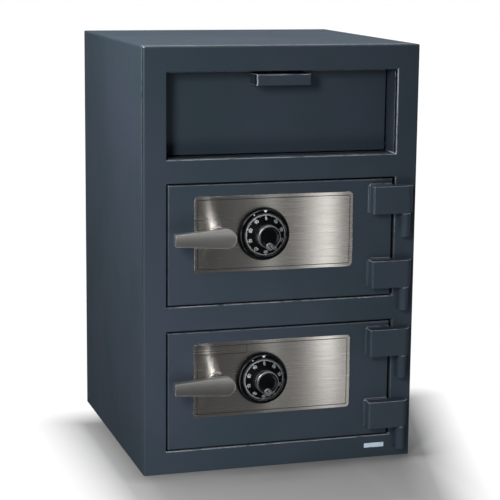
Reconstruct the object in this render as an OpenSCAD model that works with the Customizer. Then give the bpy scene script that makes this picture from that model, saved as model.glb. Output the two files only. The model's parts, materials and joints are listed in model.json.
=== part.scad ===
// Deposit safe: a drop hopper over two locked compartments, each with its own combination door.
// Millimetres, +Z up, front towards -Y. The origin is the centre of the base, on the floor.

/* [Cabinet] */
// Outside width of the cabinet
cabinet_w = 508; // [480:1:600]
// Outside depth of the cabinet, without handles and hinges
cabinet_d = 508; // [440:1:600]
// Thickness of the sides, top, bottom and back
wall_t = 6; // [4:0.5:9]
// Thickness of the front frame
frame_t = 12; // [9:0.5:14]
// Width of the frame beside the openings
stile_w = 41; // [38:0.5:46]
// Height of the frame below the lower door
bottom_rail_h = 41.5; // [36:0.5:60]
// Height of the frame between the doors
mid_rail_h = 44.5; // [40:0.5:60]
// Height of the frame between the upper door and the hopper
upper_rail_h = 42; // [38:0.5:60]
// Height of the frame above the hopper
top_rail_h = 44.5; // [30:0.5:60]
// Rounding of the cabinet's outer edges
cabinet_edge_r = 3; // [1:0.5:4]
// Chamfer around each opening in the frame
opening_chamfer = 1; // [0.5:0.25:1.5]
// Diameter of the floor anchor holes
anchor_d = 13; // [8:0.5:18]
// Distance between anchor holes across the width
anchor_pitch_x = 330; // [200:1:400]
// Distance between anchor holes front to back
anchor_pitch_y = 330; // [200:1:400]
// Thickness of the shelf between the compartments
shelf_t = 5; // [3:0.5:8]
// Depth of the folded lip at the front of the shelf
shelf_lip = 14; // [8:1:18]

/* [Doors] */
// Height of each door opening
door_open_h = 219; // [214:1:250]
// Thickness of the door plate
door_t = 12.7; // [9:0.1:14]
// Gap around the free edges of a door
door_gap = 3; // [2:0.25:4]
// Gap along the hinge edge of a door
hinge_gap = 5.5; // [4:0.25:7]
// How far a door stands proud of the frame
door_proud = 0.5; // [0.4:0.1:1.5]
// Chamfer around the front of a door
door_chamfer = 1; // [0.5:0.25:1.5]
// Width of the metal trim plate
trim_w = 295; // [280:1:320]
// Height of the metal trim plate
trim_h = 136; // [124:1:140]
// Thickness of the metal trim plate
trim_t = 1.2; // [0.8:0.1:2]
// Corner radius of the metal trim plate
trim_corner_r = 7; // [1:0.5:10]
// Distance of the trim plate from the left edge of the opening
trim_inset = 50; // [44:1:56]
// Height of the trim plate's centre above the bottom of the opening
trim_height = 127; // [122:1:132]

/* [Hinges] */
// Diameter of the hinge pins
hinge_pin_d = 10; // [7:0.5:12]
// Distance of the hinge pins from the cabinet's right side
hinge_pin_inset = 24; // [22:0.5:26]
// Thickness of the hinge block on the door
hinge_block_t = 23.5; // [20:0.5:28]
// Length of the hinge block on the door
hinge_block_l = 78; // [64:1:90]
// Height of the hinge block on the door
hinge_block_h = 50; // [46:1:56]
// Height of the lower hinge block above the bottom of the opening
low_hinge_z = 19; // [18:0.5:24]
// Height of the upper hinge block above the bottom of the opening
high_hinge_z = 155; // [140:1:160]
// Diameter of the knuckle on the frame
knuckle_d = 18; // [14:0.5:20]
// Height of the knuckle on the frame
knuckle_h = 42; // [30:1:50]
// Leg of the weld bead along a hinge block
weld_leg = 3; // [2:0.25:4]
// Thickness of the hinge washer
hinge_washer_t = 1.5; // [1:0.25:2.5]
// Running clearance of a turning shaft in its bore, on the radius
running_fit = 0.05; // [0.03:0.01:0.09]
// Clearance between sliding faces
slide_fit = 0.3; // [0.2:0.05:0.4]

/* [Boltwork] */
// Diameter of the locking bolts
bolt_d = 16; // [12:0.5:18]
// Number of locking bolts on a door
bolt_count = 3; // [2:1:3]
// Vertical distance between locking bolts
bolt_pitch = 65; // [56:1:70]
// Travel of the locking bolts
bolt_throw = 20; // [18:0.5:22]
// Gap between a locking bolt and the back of the frame
bolt_gap = 3; // [2:0.25:4]
// Thickness of the bolt bar
bolt_bar_t = 6; // [5:0.5:7]
// Width of the upright of the bolt bar
bolt_bar_w = 20; // [16:0.5:22]
// Distance of the lever's axis from the left edge of the opening
lever_inset = 91; // [88:0.5:94]
// Height of the lever's axis above the bottom of the opening
lever_height = 128; // [125:0.5:132]
// Diameter of the crank pin
crank_pin_d = 8; // [6:0.5:9]
// Diameter of the guide studs
stud_d = 8; // [6:0.5:8]
// Depth of the boltwork housing behind the door plate
housing_depth = 44; // [40:0.5:50]
// Wall of the boltwork housing
housing_wall = 3; // [2:0.25:3.5]
// Thickness of the housing's rear cover
cover_t = 2; // [1.5:0.25:3]
// Overlap of the dead bar behind the hinge side of the frame
dead_bar_overlap = 2.5; // [1.5:0.25:3]

/* [Lever] */
// Length of the lever from its axis to its tip
lever_l = 89; // [70:1:94]
// Height of the lever at its hub
lever_hub_h = 34; // [30:0.5:40]
// Height of the lever at its tip
lever_tip_h = 20; // [14:0.5:24]
// Thickness of the lever
lever_t = 15; // [12:0.5:20]
// Distance of the lever's back from the door face
lever_standoff = 42; // [34:0.5:46]
// Radius of the lever's crowned front
lever_crown_r = 46; // [22:1:60]
// Diameter of the lever's spindle
lever_spindle_d = 12; // [9:0.5:14]
// Diameter of the lever's neck at the door
neck_base_d = 29; // [22:0.5:32]
// Diameter of the lever's neck at the lever
neck_top_d = 20; // [18:0.5:24]

/* [Combination lock] */
// Distance of the dial's axis from the lever's axis
dial_offset = 85; // [84:0.5:90]
// Height of the dial's axis above the bottom of the opening
dial_height = 125.5; // [124:0.5:128]
// Outside diameter of the dial ring
dial_ring_d = 95; // [88:0.5:96]
// Height of the dial ring
dial_ring_h = 13; // [10:0.5:14]
// Diameter of the dial
dial_d = 76; // [68:0.5:80]
// Height of the dial's rim, outside its sloping skirt
dial_rim_h = 12; // [9:0.5:14]
// Height of the dial's sloping skirt
dial_skirt_h = 8; // [6:0.5:10]
// Wall of the dial, which is hollow behind
dial_wall = 3; // [2:0.25:4]
// Diameter of the dial's knob
knob_d = 40; // [34:0.5:44]
// Height of the knob's face above the trim plate
knob_h = 40; // [36:0.5:44]
// Number of grip flutes around the knob
knob_flutes = 28; // [16:1:36]
// Diameter of the key lock in the knob
key_lock_d = 12.6; // [11:0.2:13]
// Distance of the key lock below the dial's axis
key_lock_drop = 17; // [16:0.25:17.5]
// Diameter of the dial's spindle
dial_spindle_d = 8; // [6:0.5:9]
// Width of the lock case
lock_case_w = 60; // [58:0.5:64]
// Depth of the lock case
lock_case_depth = 28; // [27:0.5:30]
// Distance from the dial's axis to the bolt end of the lock case
lock_case_down = 52; // [50:0.5:54]
// Distance from the dial's axis to the plain end of the lock case
lock_case_up = 32; // [28:0.5:36]
// Wall of the lock case
lock_wall = 3; // [2:0.25:3.5]
// Diameter of the wheels in the lock
wheel_d = 40; // [34:0.5:42]
// Thickness of a wheel in the lock
wheel_t = 2.5; // [2:0.1:3]
// Travel of the lock's own bolt
lock_bolt_throw = 8; // [6:0.5:8.5]
// Thickness of the hard plate in front of the lock
hard_plate_t = 3; // [2:0.25:4]

/* [Hopper] */
// Height of the hopper opening
hopper_open_h = 151.5; // [140:0.5:170]
// Depth of the hopper panel behind the front face
hopper_recess = 47; // [40:0.5:55]
// Thickness of the hopper panel
hopper_panel_t = 6; // [4:0.5:8]
// Gap above the hopper panel
hopper_gap = 3; // [2.5:0.25:4]
// Gap below the hopper panel, and between it and the ledge in front
hopper_ledge_gap = 1.5; // [1:0.25:2.5]
// Gap at each side of the hopper panel
hopper_side_gap = 4; // [3:0.25:6]
// Thickness of the hopper's sheet parts
hopper_sheet_t = 3; // [2:0.25:4]
// Reach of the hopper tray from its pivot
hopper_reach = 128; // [110:1:128]
// Slope of the closed hopper's tray, in degrees
hopper_slope = 25; // [18:1:28]
// How far the hopper tilts out, in degrees
hopper_tilt = 50; // [40:1:52]
// Diameter of the hopper's pivot pins
hopper_pin_d = 10; // [7:0.5:12]
// Width of the hopper's pull
pull_w = 100; // [80:1:160]
// Height of the hopper's pull
pull_h = 20; // [14:0.5:26]
// Distance of the pull below the top of the opening
pull_drop = 6; // [4:0.5:10]
// Thickness of the pull's plate
pull_t = 4; // [3:0.25:6]
// Height of the deck's underside below the hopper opening
deck_drop = 25; // [23:0.5:28]
// Thickness of the deck under the hopper
deck_t = 6; // [4:0.5:7]
// Front-to-back length of the slot in the deck
drop_slot_l = 210; // [190:1:240]
// Length of the hanging comb behind the hopper
comb_h = 72; // [56:1:78]
// Width of one tooth of the comb
comb_pitch = 21.3; // [15:0.1:30]

/* [Hidden] */
$fn = 64;
// Extra length that lets a cutter pass right through a face
cut = 1;

// Paint and metal, as the safe shows them
paint = [0.20, 0.24, 0.28];
inner_paint = [0.30, 0.33, 0.37];
steel = [0.72, 0.70, 0.67];
chrome = [0.80, 0.80, 0.80];
brass = [0.72, 0.58, 0.30];
black = [0.04, 0.04, 0.05];

// Cabinet levels and planes
lower_open_z = bottom_rail_h;
upper_open_z = lower_open_z + door_open_h + mid_rail_h;
hopper_open_z = upper_open_z + door_open_h + upper_rail_h;
cabinet_h = hopper_open_z + hopper_open_h + top_rail_h;
front_y = -cabinet_d / 2;
back_y = cabinet_d / 2;
frame_back_y = front_y + frame_t;
open_w = cabinet_w - 2 * stile_w;
open_left = -open_w / 2;
open_right = open_w / 2;
inside_w = cabinet_w - 2 * wall_t;
inside_back_y = back_y - wall_t;
shelf_z = upper_open_z - mid_rail_h / 2 - shelf_t / 2;

// Door plate, measured from the bottom of its opening
door_left = open_left + door_gap;
door_right = open_right - hinge_gap;
door_bottom = door_gap;
door_top = door_open_h - door_gap;
door_front_y = front_y - door_proud;
door_back_y = door_front_y + door_t;
trim_left = open_left + trim_inset;
trim_front_y = door_front_y - trim_t;
door_mid_z = door_open_h / 2;

// Hinge axis, the same for both doors
pin_x = cabinet_w / 2 - hinge_pin_inset;
pin_y = door_front_y - hinge_block_t / 2;
pin_r = hinge_pin_d / 2;
pin_in_block = 40;
bore_spare = 2;
knuckle_top_drop = hinge_washer_t + slide_fit;
hinge_levels = [low_hinge_z, high_hinge_z];
opening_levels = [lower_open_z, upper_open_z];
hinge_block_chamfer = 2;

// Boltwork housing
housing_free_inset = 15;
housing_hinge_inset = 17.5;
housing_end_inset = 9;
housing_left = door_left + housing_free_inset;
housing_right = door_right - housing_hinge_inset;
housing_bottom = door_bottom + housing_end_inset;
housing_top = door_top - housing_end_inset;
housing_back_y = door_back_y + housing_depth;
post_r = 6;
post_blend = 2;
post_inset = housing_wall + post_r - post_blend;
screw_head_r = 5;
screw_head_h = 2.5;
screw_shank_r = 2.5;
screw_depth = 16;

// Locking bolts and the bar that carries them
bolt_r = bolt_d / 2;
bolt_y = frame_back_y + bolt_gap + bolt_r;
bolt_tip_x = door_left + 7;
bar_left = housing_left + housing_wall + bolt_throw + 2;
bar_right = bar_left + bolt_bar_w;
bar_front_y = bolt_y - bolt_bar_t / 2;
bar_back_y = bolt_y + bolt_bar_t / 2;
bolt_seat = 16;
bar_end = 14;
bar_span = (bolt_count - 1) * bolt_pitch;
bolt_levels = [for (i = [0 : bolt_count - 1]) door_mid_z - bar_span / 2 + i * bolt_pitch];

// Lever and crank
lever_x = open_left + lever_inset;
spindle_r = lever_spindle_d / 2;
lever_back_y = door_front_y - lever_standoff;
crank_r = bolt_throw / 2 / sin(45);
crank_pin_r = crank_pin_d / 2;
hub_shift = 3;
crank_t = 5.5;
crank_gap = 0.5;
crank_front_y = door_back_y + crank_gap;
crank_slot_x = lever_x + bolt_throw / 2;
crank_slot_play = 0.6;
crank_slot_low = crank_r * cos(45) - crank_pin_r - crank_slot_play;
crank_slot_high = crank_r + crank_pin_r + crank_slot_play;
yoke_below = 4;
yoke_above = 11;
yoke_beside = 8;
yoke_low = lever_height + crank_slot_low - yoke_below;
yoke_high = lever_height + crank_slot_high + yoke_above;
yoke_right = crank_slot_x + crank_pin_r + yoke_beside;

// Guide studs: one above the crank's slot, one in the lower arm
stud_r = stud_d / 2;
stud_shoulder = 3;
stud_head_r = stud_r + stud_shoulder;
stud_head_t = 2.5;
stud_edge = 3.5;
low_stud_shift = 20;
high_stud = [bar_right + stud_r, yoke_high - stud_r - stud_edge];

// Combination lock
dial_x = lever_x + dial_offset;
dial_r = dial_d / 2;
dial_gap = 0.6;
dial_back_y = trim_front_y - 1;
dial_front_y = dial_back_y - dial_rim_h - dial_skirt_h;
knob_l = knob_h - (trim_front_y - dial_front_y);
dial_hub_r = dial_r / 4;
key_lock_rise = 1;
key_slot_w = 2.2;
key_slot_l = 7;
key_slot_depth = 5;
key_slot_angle = -35;
dial_spindle_r = dial_spindle_d / 2;
lock_front_y = door_back_y + hard_plate_t;
lock_back_y = lock_front_y + lock_case_depth;
lock_cover_t = 2.5;
lock_case_bottom = dial_height - lock_case_down;
lock_case_top = dial_height + lock_case_up;
wheel_post_r = dial_spindle_r + 3;
wheel_post_l = 16;
wheel_r = wheel_d / 2;
wheel_pitch = 4.5;
wheel_count = 3;
wheel_gate = 5;
cam_r = wheel_r - 1;
cam_t = 4;
lug_w = 5;
lug_clear = 1;
lug_h = lock_bolt_throw + 2.5;
lock_bolt_w = bolt_throw - lug_w - 2 * lug_clear;
lock_bolt_t = bolt_bar_t + 3;
lock_bolt_l = lock_case_down - wheel_r - 4;
fence_w = 4;
fence_gap = 1;

// Lower arm of the bolt bar, which carries the lug that the lock's bolt stops
arm_top = lock_case_bottom - lug_h - lug_clear;
arm_spare = 10;
arm_h = stud_d + arm_spare;
arm_right = dial_x + lock_bolt_w / 2 + lug_clear + lug_w;
low_stud = [bar_right + low_stud_shift, arm_top - arm_h / 2];

// Dead bar on the hinge side
dead_bar_gap = 4;
dead_bar_t = 8;
dead_bar_foot = 10;
dead_bar_inset = 20;

// Hopper
hopper_top_z = hopper_open_z + hopper_open_h;
panel_front_y = front_y + hopper_recess;
panel_back_y = panel_front_y + hopper_panel_t;
panel_bottom = hopper_open_z + hopper_ledge_gap;
panel_top = hopper_top_z - hopper_gap;
panel_half_w = open_w / 2 - hopper_side_gap;
cheek_inset = 3;
cheek_out_x = panel_half_w - cheek_inset;
cheek_in_x = cheek_out_x - hopper_sheet_t;
pivot_back = 7;
pivot_up = 10;
pivot_y = panel_back_y + pivot_back;
pivot_z = panel_bottom + pivot_up;
hopper_pin_r = hopper_pin_d / 2;
tray_clear = 11;
liner_back_y = pivot_y + hopper_reach + tray_clear;
liner_half_w = open_w / 2;
ledge_back_y = panel_front_y - hopper_ledge_gap;
deck_top_z = hopper_open_z - deck_drop + deck_t;
deck_z = hopper_open_z - deck_drop;
slot_setback = 44;
slot_side_edge = 4;
slot_front_y = pivot_y + slot_setback;
slot_half_w = liner_half_w - slot_side_edge;
slot_lip_h = 14;
slot_lip_t = 3;
stop_r = 96;
stop_pin_r = 4;
stop_slot_play = 0.6;
stop_relief = 0.4;
hopper_hub_r = 9;
// Angle of the stop pin above the level when the hopper is shut
stop_angle = 83;
tray_flange_h = 28;
tray_lip = 2;
hopper_chamfer = 1;
comb_tooth_h = 12;

// Shapes that repeat

// A rectangle with round corners, about its centre
module rounded_rect(w, h, r) {
    square([w - 2 * r, h], center = true);
    square([w, h - 2 * r], center = true);
    for (sx = [-1, 1], sy = [-1, 1])
        translate([sx * (w / 2 - r), sy * (h / 2 - r)]) circle(r);
}

// A rectangle from its left, bottom, right and top
module edges_rect(left, bottom, right, top) {
    translate([left, bottom]) square([right - left, top - bottom]);
}

// A slot with round ends between two points on one level
module round_slot(x1, x2, level, r) {
    edges_rect(x1, level - r, x2, level + r);
    for (x = [x1, x2]) translate([x, level]) circle(r);
}

// A plate drawn in X and Z, with its back at y and its thickness towards the front
module plate_at(y, t) {
    translate([0, y, 0]) rotate([90, 0, 0]) linear_extrude(t) children();
}

// A plate drawn in Y and Z, starting at x
module side_plate_at(x, t) {
    translate([x, 0, 0]) rotate([90, 0, 90]) linear_extrude(t) children();
}

// A turned piece about an axis along Y: its profile is radius and height towards the front
module turned_at(x, y, z) {
    translate([x, y, z]) rotate([90, 0, 0]) rotate_extrude() children();
}

// A round bar along Y, from y1 back to y2
module bar_y(x, z, y1, y2, r) {
    translate([x, y2, z]) rotate([90, 0, 0]) cylinder(h = y2 - y1, r = r);
}

// A round bar along X, from x1 to x2
module bar_x(x1, x2, y, z, r) {
    translate([x1, y, z]) rotate([0, 90, 0]) cylinder(h = x2 - x1, r = r);
}

// Outline of a chamfered block across its width: low and high side, front and back, chamfer
function bevel_outline(low, high, y1, y2, c) = [
    [low + c, y1], [high - c, y1], [high, y1 + abs(c)], [high, y2], [low, y2], [low, y1 + abs(c)]
];

// A block from y1 back to y2 whose front edges are chamfered by c, or flared where c is negative
module bevel_block(left, bottom, right, top, y1, y2, c) {
    beyond = cut + abs(c);
    intersection() {
        translate([0, 0, bottom - beyond]) linear_extrude(top - bottom + 2 * beyond)
            polygon(bevel_outline(left, right, y1, y2, c));
        side_plate_at(left - beyond, right - left + 2 * beyond)
            polygon([for (p = bevel_outline(bottom, top, y1, y2, c)) [p[1], p[0]]]);
    }
}

// What an opening removes from the frame, with a chamfer around its front
module opening_cutter(left, bottom, right, top) {
    bevel_block(left, bottom, right, top, front_y - cut, frame_back_y + cut,
        -opening_chamfer - cut);
}

// What a rounded edge of radius r removes from a square corner at the origin, along Z
module edge_round_cutter(l, r) {
    difference() {
        translate([-cut, -cut, -cut]) cube([r + cut, r + cut, l + 2 * cut]);
        translate([r, r, -2 * cut]) cylinder(h = l + 4 * cut, r = r);
    }
}

// Rounds the outer edges of the whole cabinet, so that its pieces share one outline
module cabinet_edge_cutters() {
    r = cabinet_edge_r;
    for (sx = [-1, 1], sy = [-1, 1])
        translate([sx * cabinet_w / 2, sy * cabinet_d / 2, 0])
            mirror([sx > 0 ? 1 : 0, 0, 0]) mirror([0, sy > 0 ? 1 : 0, 0])
                edge_round_cutter(cabinet_h, r);
    for (sy = [-1, 1])
        translate([-cabinet_w / 2, sy * cabinet_d / 2, cabinet_h])
            mirror([0, sy > 0 ? 1 : 0, 0]) rotate([0, 90, 0]) edge_round_cutter(cabinet_w, r);
    for (sx = [-1, 1])
        translate([sx * cabinet_w / 2, cabinet_d / 2, cabinet_h])
            mirror([sx > 0 ? 1 : 0, 0, 0]) rotate([90, 0, 0]) mirror([0, 1, 0])
                edge_round_cutter(cabinet_d, r);
}

// Places the pieces of a door, which are drawn from the bottom of its opening
module at_upper() translate([0, 0, upper_open_z]) children();
module at_lower() translate([0, 0, lower_open_z]) children();

// Cabinet

// Bent and welded shell, open at the front, with anchor holes in its floor
module body_shell() {
    color(paint)
    difference() {
        translate([-cabinet_w / 2, frame_back_y, 0])
            cube([cabinet_w, cabinet_d - frame_t, cabinet_h]);
        translate([-inside_w / 2, frame_back_y - cut, wall_t])
            cube([inside_w, inside_back_y - frame_back_y + cut, cabinet_h - 2 * wall_t]);
        for (sx = [-1, 1], sy = [-1, 1])
            translate([sx * anchor_pitch_x / 2, sy * anchor_pitch_y / 2, -cut])
                cylinder(h = wall_t + 2 * cut, r = anchor_d / 2);
        cabinet_edge_cutters();
    }
}

// Thick front frame with the hopper opening over two door openings
module front_frame() {
    color(paint)
    difference() {
        plate_at(frame_back_y, frame_t) edges_rect(-cabinet_w / 2, 0, cabinet_w / 2, cabinet_h);
        opening_cutter(open_left, hopper_open_z, open_right, hopper_top_z);
        for (z = opening_levels) opening_cutter(open_left, z, open_right, z + door_open_h);
        cabinet_edge_cutters();
    }
}

// Shelf that parts the two compartments, with a lip folded down behind the frame
module divider_shelf() {
    color(inner_paint)
    translate([-inside_w / 2, frame_back_y, shelf_z]) {
        cube([inside_w, inside_back_y - frame_back_y, shelf_t]);
        translate([0, 0, -shelf_lip]) cube([inside_w, shelf_t, shelf_lip]);
    }
}

// Deck under the hopper, with the drop slot and a lip around its rear edge
module hopper_deck() {
    color(inner_paint) {
        difference() {
            translate([-inside_w / 2, frame_back_y, deck_z])
                cube([inside_w, inside_back_y - frame_back_y, deck_t]);
            translate([-slot_half_w, slot_front_y, deck_z - cut])
                cube([2 * slot_half_w, drop_slot_l, deck_t + 2 * cut]);
        }
        translate([-slot_half_w, slot_front_y + drop_slot_l, deck_z - slot_lip_h])
            cube([2 * slot_half_w, slot_lip_t, slot_lip_h]);
    }
}

// Sheet lining around the hopper: two side plates, a top and the ledge below the panel
module hopper_liner() {
    t = hopper_sheet_t;
    stop_at = about_pivot(stop_r, stop_angle);
    color(paint) {
        for (x = [-liner_half_w - t, liner_half_w])
            difference() {
                side_plate_at(x, t)
                    edges_rect(frame_back_y, deck_top_z, liner_back_y, hopper_top_z + t);
                bar_x(x - cut, x + t + cut, pivot_y, pivot_z, hopper_pin_r);
                bar_x(x - cut, x + t + cut, stop_at[0], stop_at[1], stop_pin_r);
            }
        translate([-liner_half_w, frame_back_y, hopper_top_z])
            cube([2 * liner_half_w, liner_back_y - frame_back_y, t]);
        translate([-liner_half_w, frame_back_y, hopper_open_z - t])
            cube([2 * liner_half_w, ledge_back_y - frame_back_y, t]);
    }
}

// A point at radius r about the hopper's pivot, at an angle above the rearward level
function about_pivot(r, angle) = [pivot_y + r * cos(angle), pivot_z + r * sin(angle)];

// Hanging comb that keeps hands and hooks out behind the hopper
module hopper_comb() {
    teeth = floor(2 * liner_half_w / comb_pitch);
    side = liner_half_w - teeth * comb_pitch / 2;
    low = hopper_top_z - comb_h;
    edge = [for (i = [0 : 2 * teeth])
        [-liner_half_w + side + i * comb_pitch / 2, low + (i % 2 == 0 ? comb_tooth_h : 0)]];
    color(inner_paint)
    plate_at(liner_back_y, hopper_sheet_t)
        polygon(concat(
            [[-liner_half_w, hopper_top_z], [-liner_half_w, low + comb_tooth_h]],
            edge,
            [[liner_half_w, low + comb_tooth_h], [liner_half_w, hopper_top_z]]));
}

// Pivot and stop pins of the hopper, fixed in the side plates of the liner
module hopper_pivots() {
    stop_at = about_pivot(stop_r, stop_angle);
    reach = liner_half_w - cheek_in_x + hopper_sheet_t;
    color(steel)
    for (s = [-1, 1]) {
        x1 = s > 0 ? cheek_in_x : -cheek_in_x - reach;
        bar_x(x1, x1 + reach, pivot_y, pivot_z, hopper_pin_r);
        bar_x(x1, x1 + reach, stop_at[0], stop_at[1], stop_pin_r);
    }
}

// Front panel of the hopper
module hopper_panel() {
    color(paint)
    bevel_block(-panel_half_w, panel_bottom, panel_half_w, panel_top, panel_front_y, panel_back_y,
        hopper_chamfer);
}

// Section of the sloping tray, whose upper face runs through the pivot
module tray_section() {
    end = hopper_reach + tray_lip;
    intersection() {
        translate([pivot_y, pivot_z]) rotate(-hopper_slope)
            edges_rect(-hopper_reach, -hopper_sheet_t, end, 0);
        edges_rect(panel_back_y, pivot_z - hopper_reach, pivot_y + end, pivot_z + hopper_reach);
    }
}

// Outline of a cheek: a sector about the pivot from the panel down to the tray
module cheek_outline() {
    far = 2 * hopper_reach;
    front = panel_back_y - pivot_y;
    tray_section();
    translate([pivot_y, pivot_z]) {
        intersection() {
            circle(hopper_reach, $fn = 128);
            rotate(-hopper_slope) edges_rect(-far, -hopper_sheet_t / 2, far, far);
            edges_rect(front, -far, far, far);
        }
        intersection() {
            circle(hopper_hub_r);
            edges_rect(front, -hopper_hub_r - cut, hopper_hub_r + cut, hopper_hub_r + cut);
        }
    }
}

// Arc slot in a cheek, which the stop pin runs along
module stop_slot_outline() {
    r_in = stop_r - stop_pin_r - stop_slot_play;
    r_out = stop_r + stop_pin_r + stop_slot_play;
    end = stop_angle;
    start = end - hopper_tilt;
    far = 2 * stop_r;
    translate([pivot_y, pivot_z])
        difference() {
            intersection() {
                circle(r_out, $fn = 128);
                polygon([
                    [0, 0],
                    [far * cos(start), far * sin(start)],
                    [far * cos(start / 2 + end / 2), far * sin(start / 2 + end / 2)],
                    [far * cos(end), far * sin(end)]
                ]);
            }
            circle(r_in, $fn = 128);
        }
    for (a = [start, end])
        translate(about_pivot(stop_r, a)) circle((r_out - r_in) / 2 + stop_relief);
}

// Two side cheeks that carry the panel and the tray on the pivots
module hopper_cheeks() {
    color(inner_paint)
    for (x = [-cheek_out_x, cheek_in_x])
        difference() {
            side_plate_at(x, hopper_sheet_t)
                difference() {
                    cheek_outline();
                    stop_slot_outline();
                }
            bar_x(x - cut, x + hopper_sheet_t + cut, pivot_y, pivot_z, hopper_pin_r + running_fit);
        }
}

// Sloping tray between the cheeks, folded up behind the panel
module hopper_tray() {
    color(inner_paint)
    side_plate_at(-cheek_in_x, 2 * cheek_in_x) {
        edges_rect(panel_back_y, panel_bottom, panel_back_y + hopper_sheet_t,
            panel_bottom + tray_flange_h);
        tray_section();
    }
}

// Ledge that pulls the hopper open: a folded plate with a turned-down front and closed ends
module hopper_pull() {
    top = hopper_top_z - pull_drop;
    reach = hopper_recess - 2;
    front = panel_front_y - reach;
    color(paint)
    difference() {
        bevel_block(-pull_w / 2, top - pull_h, pull_w / 2, top, front, panel_front_y,
            hopper_chamfer);
        translate([-pull_w / 2 + pull_t, front + pull_t, top - pull_h - cut])
            cube([pull_w - 2 * pull_t, reach - pull_t + cut, pull_h - pull_t + cut]);
    }
}

// Hinges

// Knuckles welded to the frame: a round barrel on a square foot
module hinge_knuckles() {
    r = knuckle_d / 2;
    color(paint)
    for (open_z = opening_levels, level = hinge_levels)
        translate([pin_x, pin_y, open_z + level - knuckle_top_drop - knuckle_h])
            difference() {
                union() {
                    cylinder(h = knuckle_h, r = r);
                    translate([-r, 0, 0]) cube([knuckle_d, front_y - pin_y, knuckle_h]);
                }
                translate([0, 0, -cut]) cylinder(h = knuckle_h + 2 * cut, r = pin_r);
            }
}

// Pins fixed in the knuckles, with a tapered top
module hinge_pins() {
    l = knuckle_h + knuckle_top_drop + pin_in_block;
    color(chrome)
    for (open_z = opening_levels, level = hinge_levels)
        translate([pin_x, pin_y, open_z + level - knuckle_top_drop - knuckle_h])
            rotate_extrude()
                polygon([[0, 0], [pin_r, 0], [pin_r, l - 2], [pin_r - 2, l], [0, l]]);
}

// Washers that carry the doors on the knuckles
module hinge_washers() {
    color(chrome)
    for (open_z = opening_levels, level = hinge_levels)
        translate([pin_x, pin_y, open_z + level - knuckle_top_drop])
            difference() {
                cylinder(h = hinge_washer_t, r = knuckle_d / 2 - 0.5);
                translate([0, 0, -cut])
                    cylinder(h = hinge_washer_t + 2 * cut, r = pin_r + running_fit);
            }
}

// Blocks welded to the door by a bead along the top and the free end, each with a blind bore
// that drops over its pin
module hinge_blocks() {
    r = hinge_block_t / 2;
    c = hinge_block_chamfer;
    left = r - hinge_block_l;
    bead_l = door_right - door_chamfer - pin_x - left;
    top = hinge_block_h;
    color(paint)
    for (level = hinge_levels)
        translate([pin_x, pin_y, level])
            difference() {
                union() {
                    linear_extrude(top) {
                        polygon([[0, -r], [left + c, -r], [left, c - r], [left, r], [0, r]]);
                        circle(r);
                    }
                    linear_extrude(top)
                        polygon([[left, r], [left - weld_leg, r], [left, r - weld_leg]]);
                    side_plate_at(left, bead_l)
                        polygon([[r, top], [r, top + weld_leg], [r - weld_leg, top]]);
                }
                translate([0, 0, -cut])
                    cylinder(h = pin_in_block + bore_spare + cut, r = pin_r + running_fit);
            }
}

// Door

// Thick door plate with the bores for the lever's and the dial's spindles
module door_plate() {
    color(paint)
    difference() {
        bevel_block(door_left, door_bottom, door_right, door_top, door_front_y, door_back_y,
            door_chamfer);
        bar_y(lever_x, lever_height, door_front_y - cut, door_back_y + cut, spindle_r + running_fit);
        bar_y(dial_x, dial_height, door_front_y - cut, door_back_y + cut, dial_spindle_r + 0.5);
    }
}

// Bar on the hinge side that stays behind the frame if the hinges are cut away
module dead_bar() {
    bar_y1 = frame_back_y + dead_bar_gap;
    bar_y2 = bar_y1 + dead_bar_t;
    right = open_right + dead_bar_overlap;
    left = housing_right + 2;
    low = door_bottom + dead_bar_inset;
    high = door_top - dead_bar_inset;
    color(steel) {
        translate([left, bar_y1, low]) cube([right - left, dead_bar_t, high - low]);
        translate([left, door_back_y, low]) cube([dead_bar_foot, bar_y1 - door_back_y, high - low]);
    }
}

// Thin metal plate behind the lever and the dial
module trim_plate() {
    color(steel)
    difference() {
        plate_at(door_front_y, trim_t)
            translate([trim_left + trim_w / 2, trim_height])
                rounded_rect(trim_w, trim_h, trim_corner_r);
        bar_y(lever_x, lever_height, trim_front_y - cut, door_front_y + cut, spindle_r + 0.5);
        bar_y(dial_x, dial_height, trim_front_y - cut, door_front_y + cut, dial_spindle_r + 0.5);
    }
}

// Hard plate that shields the lock against drilling
module hard_plate() {
    color(steel)
    difference() {
        plate_at(lock_front_y, hard_plate_t)
            edges_rect(dial_x - lock_case_w / 2, lock_case_bottom,
                dial_x + lock_case_w / 2, lock_case_top);
        bar_y(dial_x, dial_height, door_back_y - cut, lock_front_y + cut, dial_spindle_r + 0.5);
    }
}

// Corners of the housing, where its posts and the cover's screws are
function housing_corners() = [
    for (x = [housing_left + post_inset, housing_right - post_inset],
        z = [housing_bottom + post_inset, housing_top - post_inset]) [x, z]
];

// Boltwork housing: a rim with bolt holes in its free side and a screw post in each corner
module housing() {
    color(inner_paint)
    difference() {
        plate_at(housing_back_y, housing_depth) {
            difference() {
                edges_rect(housing_left, housing_bottom, housing_right, housing_top);
                edges_rect(housing_left + housing_wall, housing_bottom + housing_wall,
                    housing_right - housing_wall, housing_top - housing_wall);
            }
            for (p = housing_corners()) translate(p) circle(post_r);
        }
        for (z = bolt_levels)
            bar_x(housing_left - cut, housing_left + housing_wall + cut, bolt_y, z,
                bolt_r + slide_fit);
        for (p = housing_corners())
            bar_y(p[0], p[1], housing_back_y - screw_depth, housing_back_y + cut, screw_shank_r);
    }
}

// Flat rear cover of the housing, with a hole over each screw post
module housing_cover() {
    color(inner_paint)
    plate_at(housing_back_y + cover_t, cover_t)
        difference() {
            edges_rect(housing_left, housing_bottom, housing_right, housing_top);
            for (p = housing_corners()) translate(p) circle(screw_shank_r);
        }
}

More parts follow.
